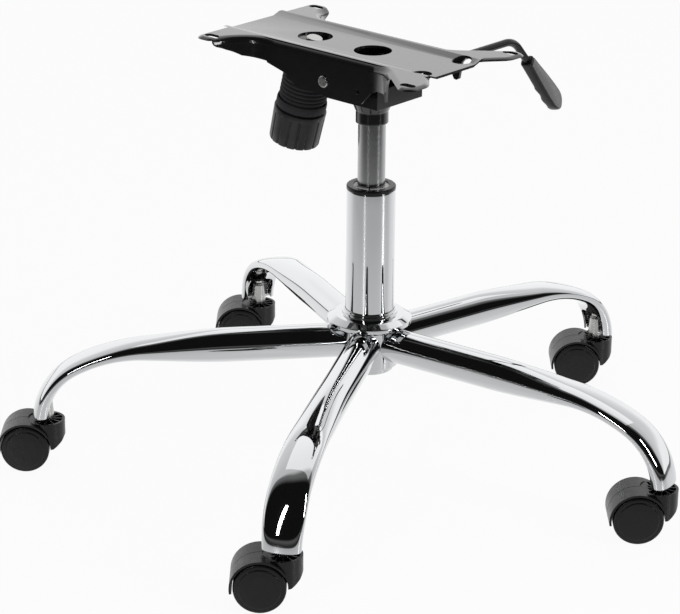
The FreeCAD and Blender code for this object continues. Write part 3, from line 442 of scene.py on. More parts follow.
def cad_skin(node: str, finish: Finish, edge: float = 0.25, segments: int = 2,
             rides: bool = True) -> bpy.types.Object:
    """A clean, smooth copy of a CAD node.

    Args:
        node: the CAD node it stands for.
        finish: its surface.
        edge: edge rounding in millimetres, or 0.
        segments: bevel steps.
        rides: whether it moves as a rigid piece with the node's body.

    Returns:
        The new piece.
    """
    source = frame["nodes"][node]
    bm = bmesh.new()
    bm.from_mesh(source.data)
    bmesh.ops.remove_doubles(bm, verts=bm.verts, dist=2e-6)
    bmesh.ops.dissolve_limit(bm, angle_limit=math.radians(0.6), verts=bm.verts, edges=bm.edges)
    item = new_object(f"{node}_skin", mesh_of(node, bm, sharp=26.0), finish)
    if edge > 0:
        bevel(item, edge * MM, segments, angle=26.0)
    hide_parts(node)
    if rides:
        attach(item, source["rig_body"])
    LOG.info("skin of %s", node)
    return item


def turned_piece(node: str, profile: Sequence[Point], finish: Finish, place: Matrix = Matrix.Identity(4),
                 rounding: float = 0.3, segments: int = 96) -> bpy.types.Object:
    """A turned piece that stands for one CAD node.

    Args:
        node: the CAD node.
        profile: outline of (radius, height) in millimetres.
        finish: its surface.
        place: where it goes.
        rounding: edge rounding in millimetres.
        segments: steps round the axis.

    Returns:
        The piece.
    """
    bm = turned(profile, rounding, segments)
    bmesh.ops.transform(bm, matrix=place, verts=bm.verts)
    item = new_object(f"{node}_turned", mesh_of(node, bm, sharp=50.0), finish)
    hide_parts(node)
    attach(item, frame["nodes"][node]["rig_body"])
    LOG.info("turned %s", node)
    return item


# star base
@dataclass(frozen=True)
class LegSizes:
    """Centre line and sections of a leg, in millimetres and degrees."""

    start: float = 20.0
    root: float = 4.5
    root_z: float = 134.2
    root_dia: float = 35.5
    slope: float = 1.6
    # (radius, turn) of each bend
    bends: Outline = ((165.0, 25.0), (66.0, 59.0))
    last_run: float = 25.0
    # the straight's share where the flattening begins, its rest, and the first bend's share where it ends
    flat_from: float = 0.58
    flat_rest: float = 0.42
    flat_to: float = 0.75
    # how much slimmer and wider than the tip the second bend is, and its shares before and in the change
    slimmer: float = 3.5
    wider: float = 3.0
    tip_from: float = 0.45
    tip_rest: float = 0.55
    tip_radius: float = 338.5
    tip_z: float = 58.0
    tip_deep: float = 18.5
    tip_wide: float = 38.0
    wall: float = 1.8
    rounding: float = 0.35
    # steps round the tube and the distance between its rings
    around: int = 64
    pitch: float = 3.5
    # the mouth: half its width in steps, the arch's rise, its place in the second bend and its fading length
    mouth_half: int = 8
    mouth_arch: float = 15.0
    mouth_from: float = 0.48
    mouth_fade: float = 60.0
    squareness: float = 0.45


class Leg:
    """One chromed tube leg with its open mouth over the caster."""

    def __init__(self, sizes: LegSizes) -> None:
        self.sizes = sizes
        heading, out = sizes.slope, 0.0
        for radius, turn in sizes.bends:
            out += radius * (math.sin(math.radians(heading + turn)) - math.sin(math.radians(heading)))
            heading += turn
        straight = (sizes.tip_radius - sizes.start - out) / math.cos(math.radians(sizes.slope))
        self.route = [(straight, None)]
        self.route += [(math.radians(turn) * radius, radius) for radius, turn in sizes.bends]
        self.route.append((sizes.last_run, None))
        self.lengths = [length for length, bend in self.route]
        self.end = self.distance_at(sizes.tip_z)

    def point(self, distance: float) -> Tuple[float, float, float]:
        """Centre line (radius, height, heading) at a distance from the hub."""
        radius_out, height, heading = self.sizes.start, self.sizes.root_z, self.sizes.slope
        left = distance
        for length, bend in self.route:
            step = min(left, length)
            if bend is None:
                radius_out += step * math.cos(math.radians(heading))
                height -= step * math.sin(math.radians(heading))
            else:
                swung = heading + math.degrees(step / bend)
                radius_out += bend * (math.sin(math.radians(swung)) - math.sin(math.radians(heading)))
                height -= bend * (math.cos(math.radians(heading)) - math.cos(math.radians(swung)))
                heading = swung
            left -= step
            if left <= 0:
                break
        return radius_out, height, heading

    def distance_at(self, height: float) -> float:
        """Distance along the centre line where it comes down to a height."""
        low, high = sum(self.lengths[:2]), sum(self.lengths)
        for _ in range(40):
            middle = (low + high) / 2
            if self.point(middle)[1] > height:
                low = middle
            else:
                high = middle
        return low

    def section(self, distance: float) -> Tuple[float, float, float]:
        """Depth, width and squareness at a distance."""
        sizes = self.sizes
        straight, first, second = self.lengths[:3]
        flat = ease((distance - straight * sizes.flat_from) / (straight * sizes.flat_rest + first * sizes.flat_to))
        tip = ease((distance - straight - first - second * sizes.tip_from) / (second * sizes.tip_rest))
        slim_deep, slim_wide = sizes.tip_deep - sizes.slimmer, sizes.tip_wide + sizes.wider
        deep = sizes.root_dia + (slim_deep - sizes.root_dia) * flat + (sizes.tip_deep - slim_deep) * tip
        wide = sizes.root_dia + (slim_wide - sizes.root_dia) * flat + (sizes.tip_wide - slim_wide) * tip
        return deep, wide, 2.0 + sizes.squareness * flat

    def surface(self, distance: float, angle: float) -> Vector:
        """A point of the tube's skin in the leg's own frame, in millimetres."""
        out, height, heading = self.point(distance)
        deep, wide, power = self.section(distance)
        side, rise = squared(angle, power)
        side *= wide / 2
        rise *= deep / 2
        lean = math.radians(heading)
        spot = Vector((out + rise * math.sin(lean), side, height + rise * math.cos(lean)))
        if distance >= self.end - 1e-6:
            way = Vector((math.cos(lean), 0, -math.sin(lean)))
            spot += way * ((spot.z - self.sizes.tip_z) / math.sin(lean))
        return spot

    def build(self, name: str, turn: float) -> bpy.types.Object:
        """Makes the leg at its place round the column.

        Args:
            name: the CAD node it stands for.
            turn: direction in degrees.

        Returns:
            The leg.
        """
        sizes = self.sizes
        arch_low = sum(self.lengths[:2]) + self.lengths[2] * sizes.mouth_from + sizes.mouth_arch
        upper = int((arch_low - sizes.root) / sizes.pitch)
        lower = int((self.end - arch_low) / sizes.pitch)
        stops = [sizes.root + (arch_low - sizes.root) * step / upper for step in range(upper + 1)]
        stops += [arch_low + (self.end - arch_low) * (step + 1) / lower for step in range(lower)]
        half_angle = 2 * math.pi * sizes.mouth_half / sizes.around
        rows = []
        for stop in stops:
            fade = ease(1 - (arch_low - stop) / sizes.mouth_fade) if stop <= arch_low else 0.0
            row = []
            for step in range(sizes.around):
                angle = 2 * math.pi * step / sizes.around
                across = (angle - 1.5 * math.pi) / half_angle
                arch = sizes.mouth_arch * math.sqrt(max(0.0, 1 - across * across))
                row.append(self.surface(stop - arch * fade, angle))
            rows.append(row)
        bm = Sweep(sizes.around).run(rows, capped=False)
        middle = sizes.around * 3 // 4
        mouth = []
        bm.verts.ensure_lookup_table()
        for face in bm.faces:
            indices = [vert.index for vert in face.verts]
            if min(indices) // sizes.around < upper:
                continue
            places = {index % sizes.around for index in indices}
            if min(places) >= middle - sizes.mouth_half and max(places) <= middle + sizes.mouth_half:
                mouth.append(face)
        bmesh.ops.delete(bm, geom=mouth, context="FACES")
        bmesh.ops.transform(bm, matrix=Matrix.Rotation(math.radians(turn), 4, "Z"), verts=bm.verts)
        item = new_object(f"{name}_tube", mesh_of(name, bm, sharp=50.0), CHROME)
        wall = item.modifiers.new("tube_wall", "SOLIDIFY")
        wall.thickness = sizes.wall * MM
        wall.offset = -1.0
        wall.use_even_offset = True
        bevel(item, sizes.rounding * MM, angle=50.0)
        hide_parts(name)
        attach(item, "base")
        LOG.info("leg %s with %d stops", name, len(stops))
        return item


@dataclass(frozen=True)
class StarSizes:
    """Legs round the hub and outlines of (radius, height), in millimetres and degrees."""

    legs: int = 5
    first_turn: float = 9.5
    hub: Outline = ((25.0, 110.0), (30.0, 110.0), (30.0, 153.5), (25.0, 153.5), (25.0, 110.0))
    collar: Outline = (
        (25.3, 153.5), (31.0, 153.5), (32.0, 158.0), (38.5, 158.0), (39.5, 153.5), (40.0, 153.5),
        (43.5, 156.5), (43.5, 160.0), (36.0, 164.5), (28.5, 165.0), (28.5, 168.0), (26.7, 168.0),
        (26.7, 170.0), (25.3, 170.0), (25.3, 153.5),
    )
    collar_rounding: float = 0.8
    socket_rounding: float = 0.2

    def turn(self, number: int) -> float:
        """Direction of a leg, counted from 1."""
        return self.first_turn + 360 / self.legs * (number - 1)


class StarBase:
    """Five legs welded to the hub, with the collar and the stem sockets."""

    def __init__(self, sizes: StarSizes) -> None:
        self.sizes = sizes

    def build(self) -> None:
        """Makes every piece of the base."""
        sizes = self.sizes
        leg = Leg(LegSizes())
        for number in range(1, sizes.legs + 1):
            leg.build(f"leg_{number}", sizes.turn(number))
            cad_skin(f"stem_socket_{number}", STEEL, sizes.socket_rounding)
            cad_skin(f"caster_stem_{number}", STEEL, sizes.socket_rounding)
        turned_piece("hub_tube", sizes.hub, CHROME)
        turned_piece("hub_collar", sizes.collar, CHROME, rounding=sizes.collar_rounding)


@dataclass(frozen=True)
class ColumnSizes:
    """Outlines of the turned pieces as (radius, height), in millimetres."""

    tube: Outline = (
        (6.0, 103.5), (24.0, 103.5), (25.0, 104.5), (25.0, 298.5), (23.0, 298.5), (23.0, 106.5),
        (6.0, 106.5), (6.0, 103.5),
    )
    cap: Outline = (
        (18.0, 298.5), (25.0, 298.5), (25.0, 301.7), (24.2, 302.5), (18.6, 302.5), (18.0, 301.9),
        (18.0, 298.5),
    )
    cylinder: Outline = (
        (5.05, 190.0), (13.0, 190.0), (14.0, 191.0), (14.0, 368.0), (13.2, 401.0), (3.05, 401.0),
    )
    socket: Outline = (
        (14.0, 368.0), (16.0, 368.0), (16.6, 368.6), (16.6, 381.0), (17.2, 381.0), (22.5, 394.0),
        (17.2, 394.0), (17.2, 400.0), (13.25, 400.0), (14.0, 368.0),
    )
    sleeve_rounding: float = 0.2


class Column:
    """Chromed outer tube, its cap and sleeve, and the gas lift inside."""

    def __init__(self, sizes: ColumnSizes) -> None:
        self.sizes = sizes

    def build(self) -> None:
        """Makes the column's visible pieces and dresses the hidden ones."""
        sizes = self.sizes
        turned_piece("column_tube", sizes.tube, CHROME)
        turned_piece("column_cap", sizes.cap, NYLON)
        cad_skin("guide_sleeve", ACETAL, sizes.sleeve_rounding)
        turned_piece("gas_cylinder", sizes.cylinder, GREY_STEEL)
        turned_piece("taper_socket", sizes.socket, COAT)
        for node in ("thrust_bearing", "piston_rod", "retaining_clip", "valve_button"):
            cad_skin(node, STEEL, edge=0.0)
        cad_skin("rubber_bumper", RUBBER, edge=0.0)


@dataclass(frozen=True)
class CasterSizes:
    """Place of a caster and its wheel's outline of (radius, distance out), in millimetres and degrees."""

    turn: float = 221.5
    circle: float = 334.0
    trail: float = 21.0
    axle_z: float = 25.0
    wheel: Outline = (
        (0.0, 18.0), (3.05, 18.0), (3.05, 5.3), (7.0, 5.3), (8.0, 14.0), (18.5, 14.0), (20.0, 5.0),
        (24.0, 5.0), (25.0, 6.0), (25.0, 19.4), (24.4, 20.5), (23.2, 21.0), (20.4, 21.0), (19.6, 21.6),
        (12.5, 22.3), (0.0, 22.5),
    )
    wheel_rounding: float = 0.6
    wheel_steps: int = 80
    hood_rounding: float = 0.5


class Caster:
    """One twin wheel caster under its nylon hood."""

    def __init__(self, number: int, leg_turn: float, sizes: CasterSizes) -> None:
        self.number = number
        self.sizes = sizes
        direction = math.radians(leg_turn)
        stem = Vector((sizes.circle * math.cos(direction), sizes.circle * math.sin(direction), 0)) * MM
        self.place = Matrix.Translation(stem) @ Matrix.Rotation(math.radians(sizes.turn), 4, "Z")

    def build(self) -> None:
        """Makes hood, axle and both wheels."""
        sizes = self.sizes
        cad_skin(f"caster_hood_{self.number}", NYLON, sizes.hood_rounding, segments=3)
        cad_skin(f"caster_axle_{self.number}", STEEL, edge=0.0)
        axle = Matrix.Translation(Vector((sizes.trail, 0, sizes.axle_z)) * MM)
        for side, turn in (("left", -90), ("right", 90)):
            place = self.place @ axle @ Matrix.Rotation(math.radians(turn), 4, "X")
            turned_piece(f"wheel_{side}_{self.number}", sizes.wheel, NYLON, place, sizes.wheel_rounding,
                         sizes.wheel_steps)


@dataclass(frozen=True)
class BoltLine:
    """The leaning line of the tension bolt; distances run down from its head."""

    top_x: float = -77.5
    top_z: float = 438.8
    lean: float = 14.2

    def place(self, distance: float) -> Matrix:
        """A frame on the line whose Z points up along the bolt."""
        lean = math.radians(self.lean)
        spot = Vector((self.top_x - math.sin(lean) * distance, 0, self.top_z - math.cos(lean) * distance)) * MM
        return Matrix.Translation(spot) @ Matrix.Rotation(lean, 4, "Y")


@dataclass(frozen=True)
class KnobSizes:
    """The tension knob, in millimetres."""

    top: float = 78.0
    long: float = 37.4
    radius: float = 26.5
    lobes: int = 16
    taper: float = 1.1
    groove: float = 1.2
    groove_wide: float = 0.95
    groove_end: float = 5.0
    # the lower rim rises between the flats: how far, up to which height and how far in
    scallop: float = 0.5
    scallop_fade: float = 6.0
    scallop_in: float = 5.0
    steps_per_lobe: int = 24


@dataclass(frozen=True)
class BootSizes:
    """The ribbed boot over the spring, in millimetres; heights run up from the knob."""

    low: float = 77.7
    long: float = 45.4
    collar: float = 11.0
    rings: int = 8
    bore: float = 20.8
    neck: float = 22.4
    crest: float = 2.35
    # steps to a ring, and how full its crest is: 1 is a sine
    ring_steps: int = 12
    fullness: float = 0.8
    tail: float = 8.2
    collar_bore: float = 25.3
    # outside of the collar as (radius, height)
    collar_outline: Outline = ((22.6, 0.0), (25.2, 0.8), (26.0, 2.2), (26.0, 7.8), (25.7, 9.6))
    collar_top: float = 10.3
    collar_floor: float = 2.0


class TensionUnit:
    """Bolt head, spring, ribbed boot and fluted knob."""

    LINE = BoltLine()

    def build(self) -> None:
        """Makes every piece on the bolt."""
        cad_skin("tension_bolt", STEEL, edge=0.3)
        cad_skin("thrust_washer", STEEL, edge=0.2)
        boot = BootSizes()
        self._spring(boot)
        self._bellows(boot)
        self._collar(boot)
        self._knob(KnobSizes())

    def _spring(self, sizes: BootSizes) -> None:
        """The spring, as a smooth copy that rides with no body."""
        item = cad_skin("tension_spring", STEEL, edge=0.0, rides=False)
        fixed = self.LINE.place(sizes.low - sizes.long).translation
        self.LINE.place(sizes.low).translation
        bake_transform(item)

    def _bellows(self, sizes: BootSizes) -> None:
        """Rings between the bracket and the collar, with their tail inside it."""
        outline = [(sizes.bore, sizes.tail), (sizes.neck, sizes.tail), (sizes.neck, sizes.collar)]
        pitch = (sizes.long - sizes.collar) / sizes.rings
        for number in range(sizes.rings):
            for step in range(1, sizes.ring_steps + 1):
                t = step / sizes.ring_steps
                crest = math.sin(math.pi * t) ** sizes.fullness
                outline.append((sizes.neck + sizes.crest * crest, sizes.collar + pitch * (number + t)))
        outline += [(sizes.bore, sizes.long), (sizes.bore, sizes.tail)]
        bm = turned(outline)
        bmesh.ops.transform(bm, matrix=self.LINE.place(sizes.low), verts=bm.verts)
        item = new_object("spring_boot_bellows", mesh_of("spring_boot", bm, sharp=60.0), RUBBER)
        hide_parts("spring_boot")
        fixed = self.LINE.place(sizes.low - sizes.long).translation
        self.LINE.place(sizes.low - sizes.tail).translation
        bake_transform(item)
        LOG.info("bellows with %d rings", sizes.rings)

    def _collar(self, sizes: BootSizes) -> None:
        """The boot's wide foot, which rises with the knob and slips over the bellows."""
        bm = turned([
            (sizes.bore, 0.0), *sizes.collar_outline, (sizes.collar_bore, sizes.collar_top),
            (sizes.collar_bore, sizes.collar_floor), (sizes.bore, sizes.collar_floor), (sizes.bore, 0.0),
        ])
        bmesh.ops.transform(bm, matrix=self.LINE.place(sizes.low), verts=bm.verts)
        item = new_object("spring_boot_collar", mesh_of("boot_collar", bm, sharp=60.0), RUBBER)
        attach(item, "tension_carriage")
        LOG.info("boot collar")

    def _knob(self, sizes: KnobSizes) -> None:
        """A tapered knob with narrow grooves between its flats."""
        count = sizes.lobes * sizes.steps_per_lobe
        top, end = sizes.long, sizes.long - sizes.groove_end
        # each ring's way out from the rim, its height and its share of the groove's depth
        rings = (
            (-14.0, 0.4, 0.0), (-4.5, 0.0, 0.0), (-1.5, 0.15, 0.6), (-0.5, 0.7, 0.9), (0.0, 1.8, 1.0),
            (0.0, 12.0, 1.0), (0.0, end - 1.0, 1.0), (0.0, end - 0.3, 0.75), (0.0, end, 0.0),
            (0.0, top - 0.7, 0.0), (-0.2, top - 0.2, 0.0), (-0.7, top, 0.0), (-3.0, top, 0.0),
            (-3.4, top - 2.0, 0.0), (-20.0, top - 2.3, 0.0),
        )
        rows = []
        for outward, height, depth in rings:
            row = []
            for step in range(count):
                angle = 2 * math.pi * step / count
                across = ((step % sizes.steps_per_lobe) / sizes.steps_per_lobe - 0.5) * 2
                from_groove = (1 - abs(across)) * math.pi * sizes.radius / sizes.lobes
                groove = sizes.groove * math.exp(-((from_groove / sizes.groove_wide) ** 4))
                rim = sizes.radius + sizes.taper * (height / top - 0.5)
                radius = rim + outward - groove * depth
                lift = sizes.scallop * across ** 4 * max(0.0, 1 - height / sizes.scallop_fade)
                lifted = height + lift * (outward > -sizes.scallop_in)
                row.append(Vector((radius * math.cos(angle), radius * math.sin(angle), lifted)))
            rows.append(row)
        bm = Sweep(count).run(rows)
        bmesh.ops.transform(bm, matrix=self.LINE.place(sizes.top + sizes.long), verts=bm.verts)
        item = new_object("tension_knob_fluted", mesh_of("tension_knob", bm, sharp=55.0), KNOB_NYLON)
        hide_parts("tension_knob")
        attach(item, "tension_screw")
        LOG.info("knob with %d flutes", sizes.lobes)


@dataclass(frozen=True)
class LeverSizes:
    """The height lever, in millimetres and degrees."""

    x: float = 20.0
    z: float = 415.0
    reach: float = 200.0
    bend: float = 12.0
    crook: float = 30.0
    radius: float = 4.0
    tip_x: float = -8.0
    rod_end: float = 80.0
    drop: float = 47.5
    roll: float = 20.0
    grip_from: float = 36.5
    grip_long: float = 85.0
    grip_wide: float = 22.5
    grip_root: float = 10.5
    grip_thick: float = 13.0
    # finger waves on the back: height, number to the grip's length and the shares where they begin and end
    wave: float = 0.9
    waves: int = 9
    wave_from: float = 0.42
    wave_to: float = 0.87
    # the shares where the round end and the thinning begin, with the thinning of back and front
    round_from: float = 0.80
    thin_from: float = 0.86
    back_thin: float = 0.55
    front_thin: float = 0.30
    # rings stand closer together towards the end
    crowding: float = 1.7
    # the grey face: its margin to the paddle's edge, how far it stands out and its rounding
    face_margin: float = 1.5
    face_high: float = 0.35
    face_rounding: float = 0.25


class HeightLever:
    """Bent rod with a moulded paddle."""

    def __init__(self, sizes: LeverSizes) -> None:
        self.sizes = sizes
        drop, roll = math.radians(sizes.drop), math.radians(sizes.roll)
        self.corner = Vector((sizes.x, sizes.reach, sizes.z))
        self.out_way = Vector((0, math.cos(drop), -math.sin(drop)))
        up_way = Vector((0, math.sin(drop), math.cos(drop)))
        self.face_way = Vector((1, 0, 0)) * math.cos(roll) + up_way * math.sin(roll)
        self.side_way = up_way * math.cos(roll) - Vector((1, 0, 0)) * math.sin(roll)

    def build(self) -> None:
        """Makes rod, paddle and its flat face."""
        self._rod()
        self._paddle()
        self._face()

    def _rod(self) -> None:
        """A round rod: three straight runs and two bends."""
        sizes = self.sizes
        bend = sizes.bend
        bm = bmesh.new()
        tip = Matrix.Translation(Vector((sizes.tip_x, 0, sizes.z)) * MM) @ Matrix.Rotation(math.pi / 2, 4, "Y")
        bmesh.ops.create_circle(bm, cap_ends=True, segments=32, radius=sizes.radius * MM, matrix=tip)
        ring = list(bm.edges)
        ring = self._straight(bm, ring, Vector((sizes.x - bend - sizes.tip_x, 0, 0)))
        ring = self._bent(bm, ring, Vector((sizes.x - bend, bend, sizes.z)), Vector((0, 0, 1)), 90.0)
        run = sizes.crook * math.tan(math.radians(sizes.drop) / 2)
        ring = self._straight(bm, ring, Vector((0, sizes.reach - run - bend, 0)))
        ring = self._bent(bm, ring, Vector((sizes.x, sizes.reach - run, sizes.z - sizes.crook)), Vector((-1, 0, 0)),
                          sizes.drop)
        ring = self._straight(bm, ring, self.out_way * (sizes.rod_end - run))
        bmesh.ops.edgeloop_fill(bm, edges=ring)
        item = new_object("lever_rod_bent", mesh_of("lever_rod", bm, sharp=50.0), ROD_COAT)
        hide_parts("lever_rod")
        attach(item, "height_lever")

    @staticmethod
    def _straight(bm: bmesh.types.BMesh, ring: List[bmesh.types.BMEdge], way: Vector) -> List[bmesh.types.BMEdge]:
        """Draws a ring of edges out in a straight line and returns the new ring."""
        made = bmesh.ops.extrude_edge_only(bm, edges=ring)["geom"]
        verts = [part for part in made if isinstance(part, bmesh.types.BMVert)]
        bmesh.ops.translate(bm, vec=way * MM, verts=verts)
        fresh = set(verts)
        return [part for part in made if isinstance(part, bmesh.types.BMEdge)
                and part.verts[0] in fresh and part.verts[1] in fresh]

    @staticmethod
    def _bent(bm: bmesh.types.BMesh, ring: List[bmesh.types.BMEdge], centre: Vector, axis: Vector,
              angle: float) -> List[bmesh.types.BMEdge]:
        """Draws a ring of edges round a bend and returns the new ring."""
        verts = list({vert for edge in ring for vert in edge.verts})
        made = bmesh.ops.spin(bm, geom=verts + ring, cent=centre * MM, axis=axis, angle=math.radians(angle),
                              steps=12, use_duplicate=False)
        return [part for part in made["geom_last"] if isinstance(part, bmesh.types.BMEdge)]

    def _outline(self, share: float) -> float:
        """Half the paddle's width at a share of its length."""
        sizes = self.sizes
        grown = sizes.grip_root + (sizes.grip_wide - sizes.grip_root) * ease((share + 0.25) / 1.05)
        end = max(0.0, (share - sizes.round_from) / (1 - sizes.round_from))
        return grown / 2 * math.sqrt(max(0.0, 1 - end * end))

    def _thinned(self, share: float, amount: float) -> float:
        """What is left of the paddle's thickness at a share of its length."""
        start = self.sizes.thin_from
        return 1 - amount * max(0.0, (share - start) / (1 - start)) ** 2

    def _paddle(self) -> None:
        """A flat-faced paddle with finger waves behind, narrow at the rod and round at its end."""
        sizes = self.sizes
        steps, around = 56, 64
        half = sizes.grip_thick / 2
        # the two rings before the first are the root's rounding: how far in and how far back each stands
        root_inset, root_back = {-2: 1.0, -1: 0.3}, {-2: 1.0, -1: 0.7}
        narrowest, squareness, back_lean = 0.7, 5.0, 0.10
        rows = []
        for index in range(-len(root_inset), steps + 1):
            t = max(0.0, 1 - (1 - index / steps) ** sizes.crowding)
            inset = root_inset.get(index, 0.0)
            along = sizes.grip_from + sizes.grip_long * t - root_back.get(index, 0.0)
            wide = max(narrowest, self._outline(t) - inset)
            wave = sizes.wave * math.sin((t - sizes.wave_from) * math.pi * sizes.waves)
            wave *= sizes.wave_from < t < sizes.wave_to
            back = (half + wave - inset) * self._thinned(t, sizes.back_thin)
            front = (half - inset) * self._thinned(t, sizes.front_thin)
            row = []
            for step in range(around):
                across, rise = squared(2 * math.pi * step / around, squareness)
                depth = rise * (front if rise > 0 else back)
                lean = 1 - back_lean * max(0.0, -rise)
                row.append(self.corner + self.out_way * along + self.side_way * (across * wide * lean)
                           + self.face_way * depth)
            rows.append(row)
        bm = Sweep(around).run(rows)
        bmesh.ops.remove_doubles(bm, verts=bm.verts, dist=1e-6)
        item = new_object("lever_handle_paddle", mesh_of("lever_handle", bm, sharp=40.0), NYLON)
        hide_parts("lever_handle")
        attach(item, "height_lever")
        LOG.info("paddle %.0f mm long", sizes.grip_long)

    def _face(self) -> None:
        """The bare grey face let into the paddle's front."""
        sizes = self.sizes
        steps = 40
        face_from, face_run = 0.03, 0.945
        sunk, edge_high = -2.0, 0.15
        rim = []
        for index in range(steps + 1):
            t = face_from + face_run * (1 - (1 - index / steps) ** sizes.crowding)
            outer = self._outline(t + sizes.face_margin / sizes.grip_long)
            rim.append((t, max(0.0, outer - sizes.face_margin)))
        loop = rim + [(t, -wide) for t, wide in reversed(rim[:-1])]
        rows = []
        for lift, shrink in ((sunk, 0.0), (edge_high, 0.0), (sizes.face_high, sizes.face_rounding)):
            row = []
            for t, wide in loop:
                drawn = math.copysign(max(0.0, abs(wide) - shrink), wide)
                depth = sizes.grip_thick / 2 * self._thinned(t, sizes.front_thin) + lift
                row.append(self.corner + self.out_way * (sizes.grip_from + sizes.grip_long * t)
                           + self.side_way * drawn + self.face_way * depth)
            rows.append(row)
        bm = Sweep(len(loop)).run(rows)
        item = new_object("lever_handle_face", mesh_of("lever_face", bm, sharp=40.0), GREY_NYLON)
        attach(item, "height_lever")
        LOG.info("lever face")


class SeatMechanism:
    """Seat plate, lower bracket, tilt pivot, tension unit and height lever."""

    def build(self) -> None:
        """Makes every piece above the gas lift."""
        cad_skin("seat_plate", COAT, edge=0.25)
        cad_skin("lower_bracket", COAT, edge=0.3)
        cad_skin("pivot_pin", STEEL, edge=0.3)
        cad_skin("pivot_bushes", ACETAL, edge=0.3)
        TensionUnit().build()
        HeightLever(LeverSizes()).build()


# studio
@dataclass(frozen=True)
class CameraSizes:
    """Place of the camera, fitted to the photograph."""

    azimuth: float = 41.594
    elevation: float = 21.503
    distance: float = 2563.8
    focal_px: float = 2498.4
    width_px: float = 680.0
    target_x: float = -30.44
    target_z: float = 169.16
    roll: float = -0.466


@dataclass(frozen=True)
class Lamp:
    """A soft area light aimed at the object."""

    name: str
    azimuth: float
    elevation: float
    distance: float
    size: Tuple[float, float]
    power: float


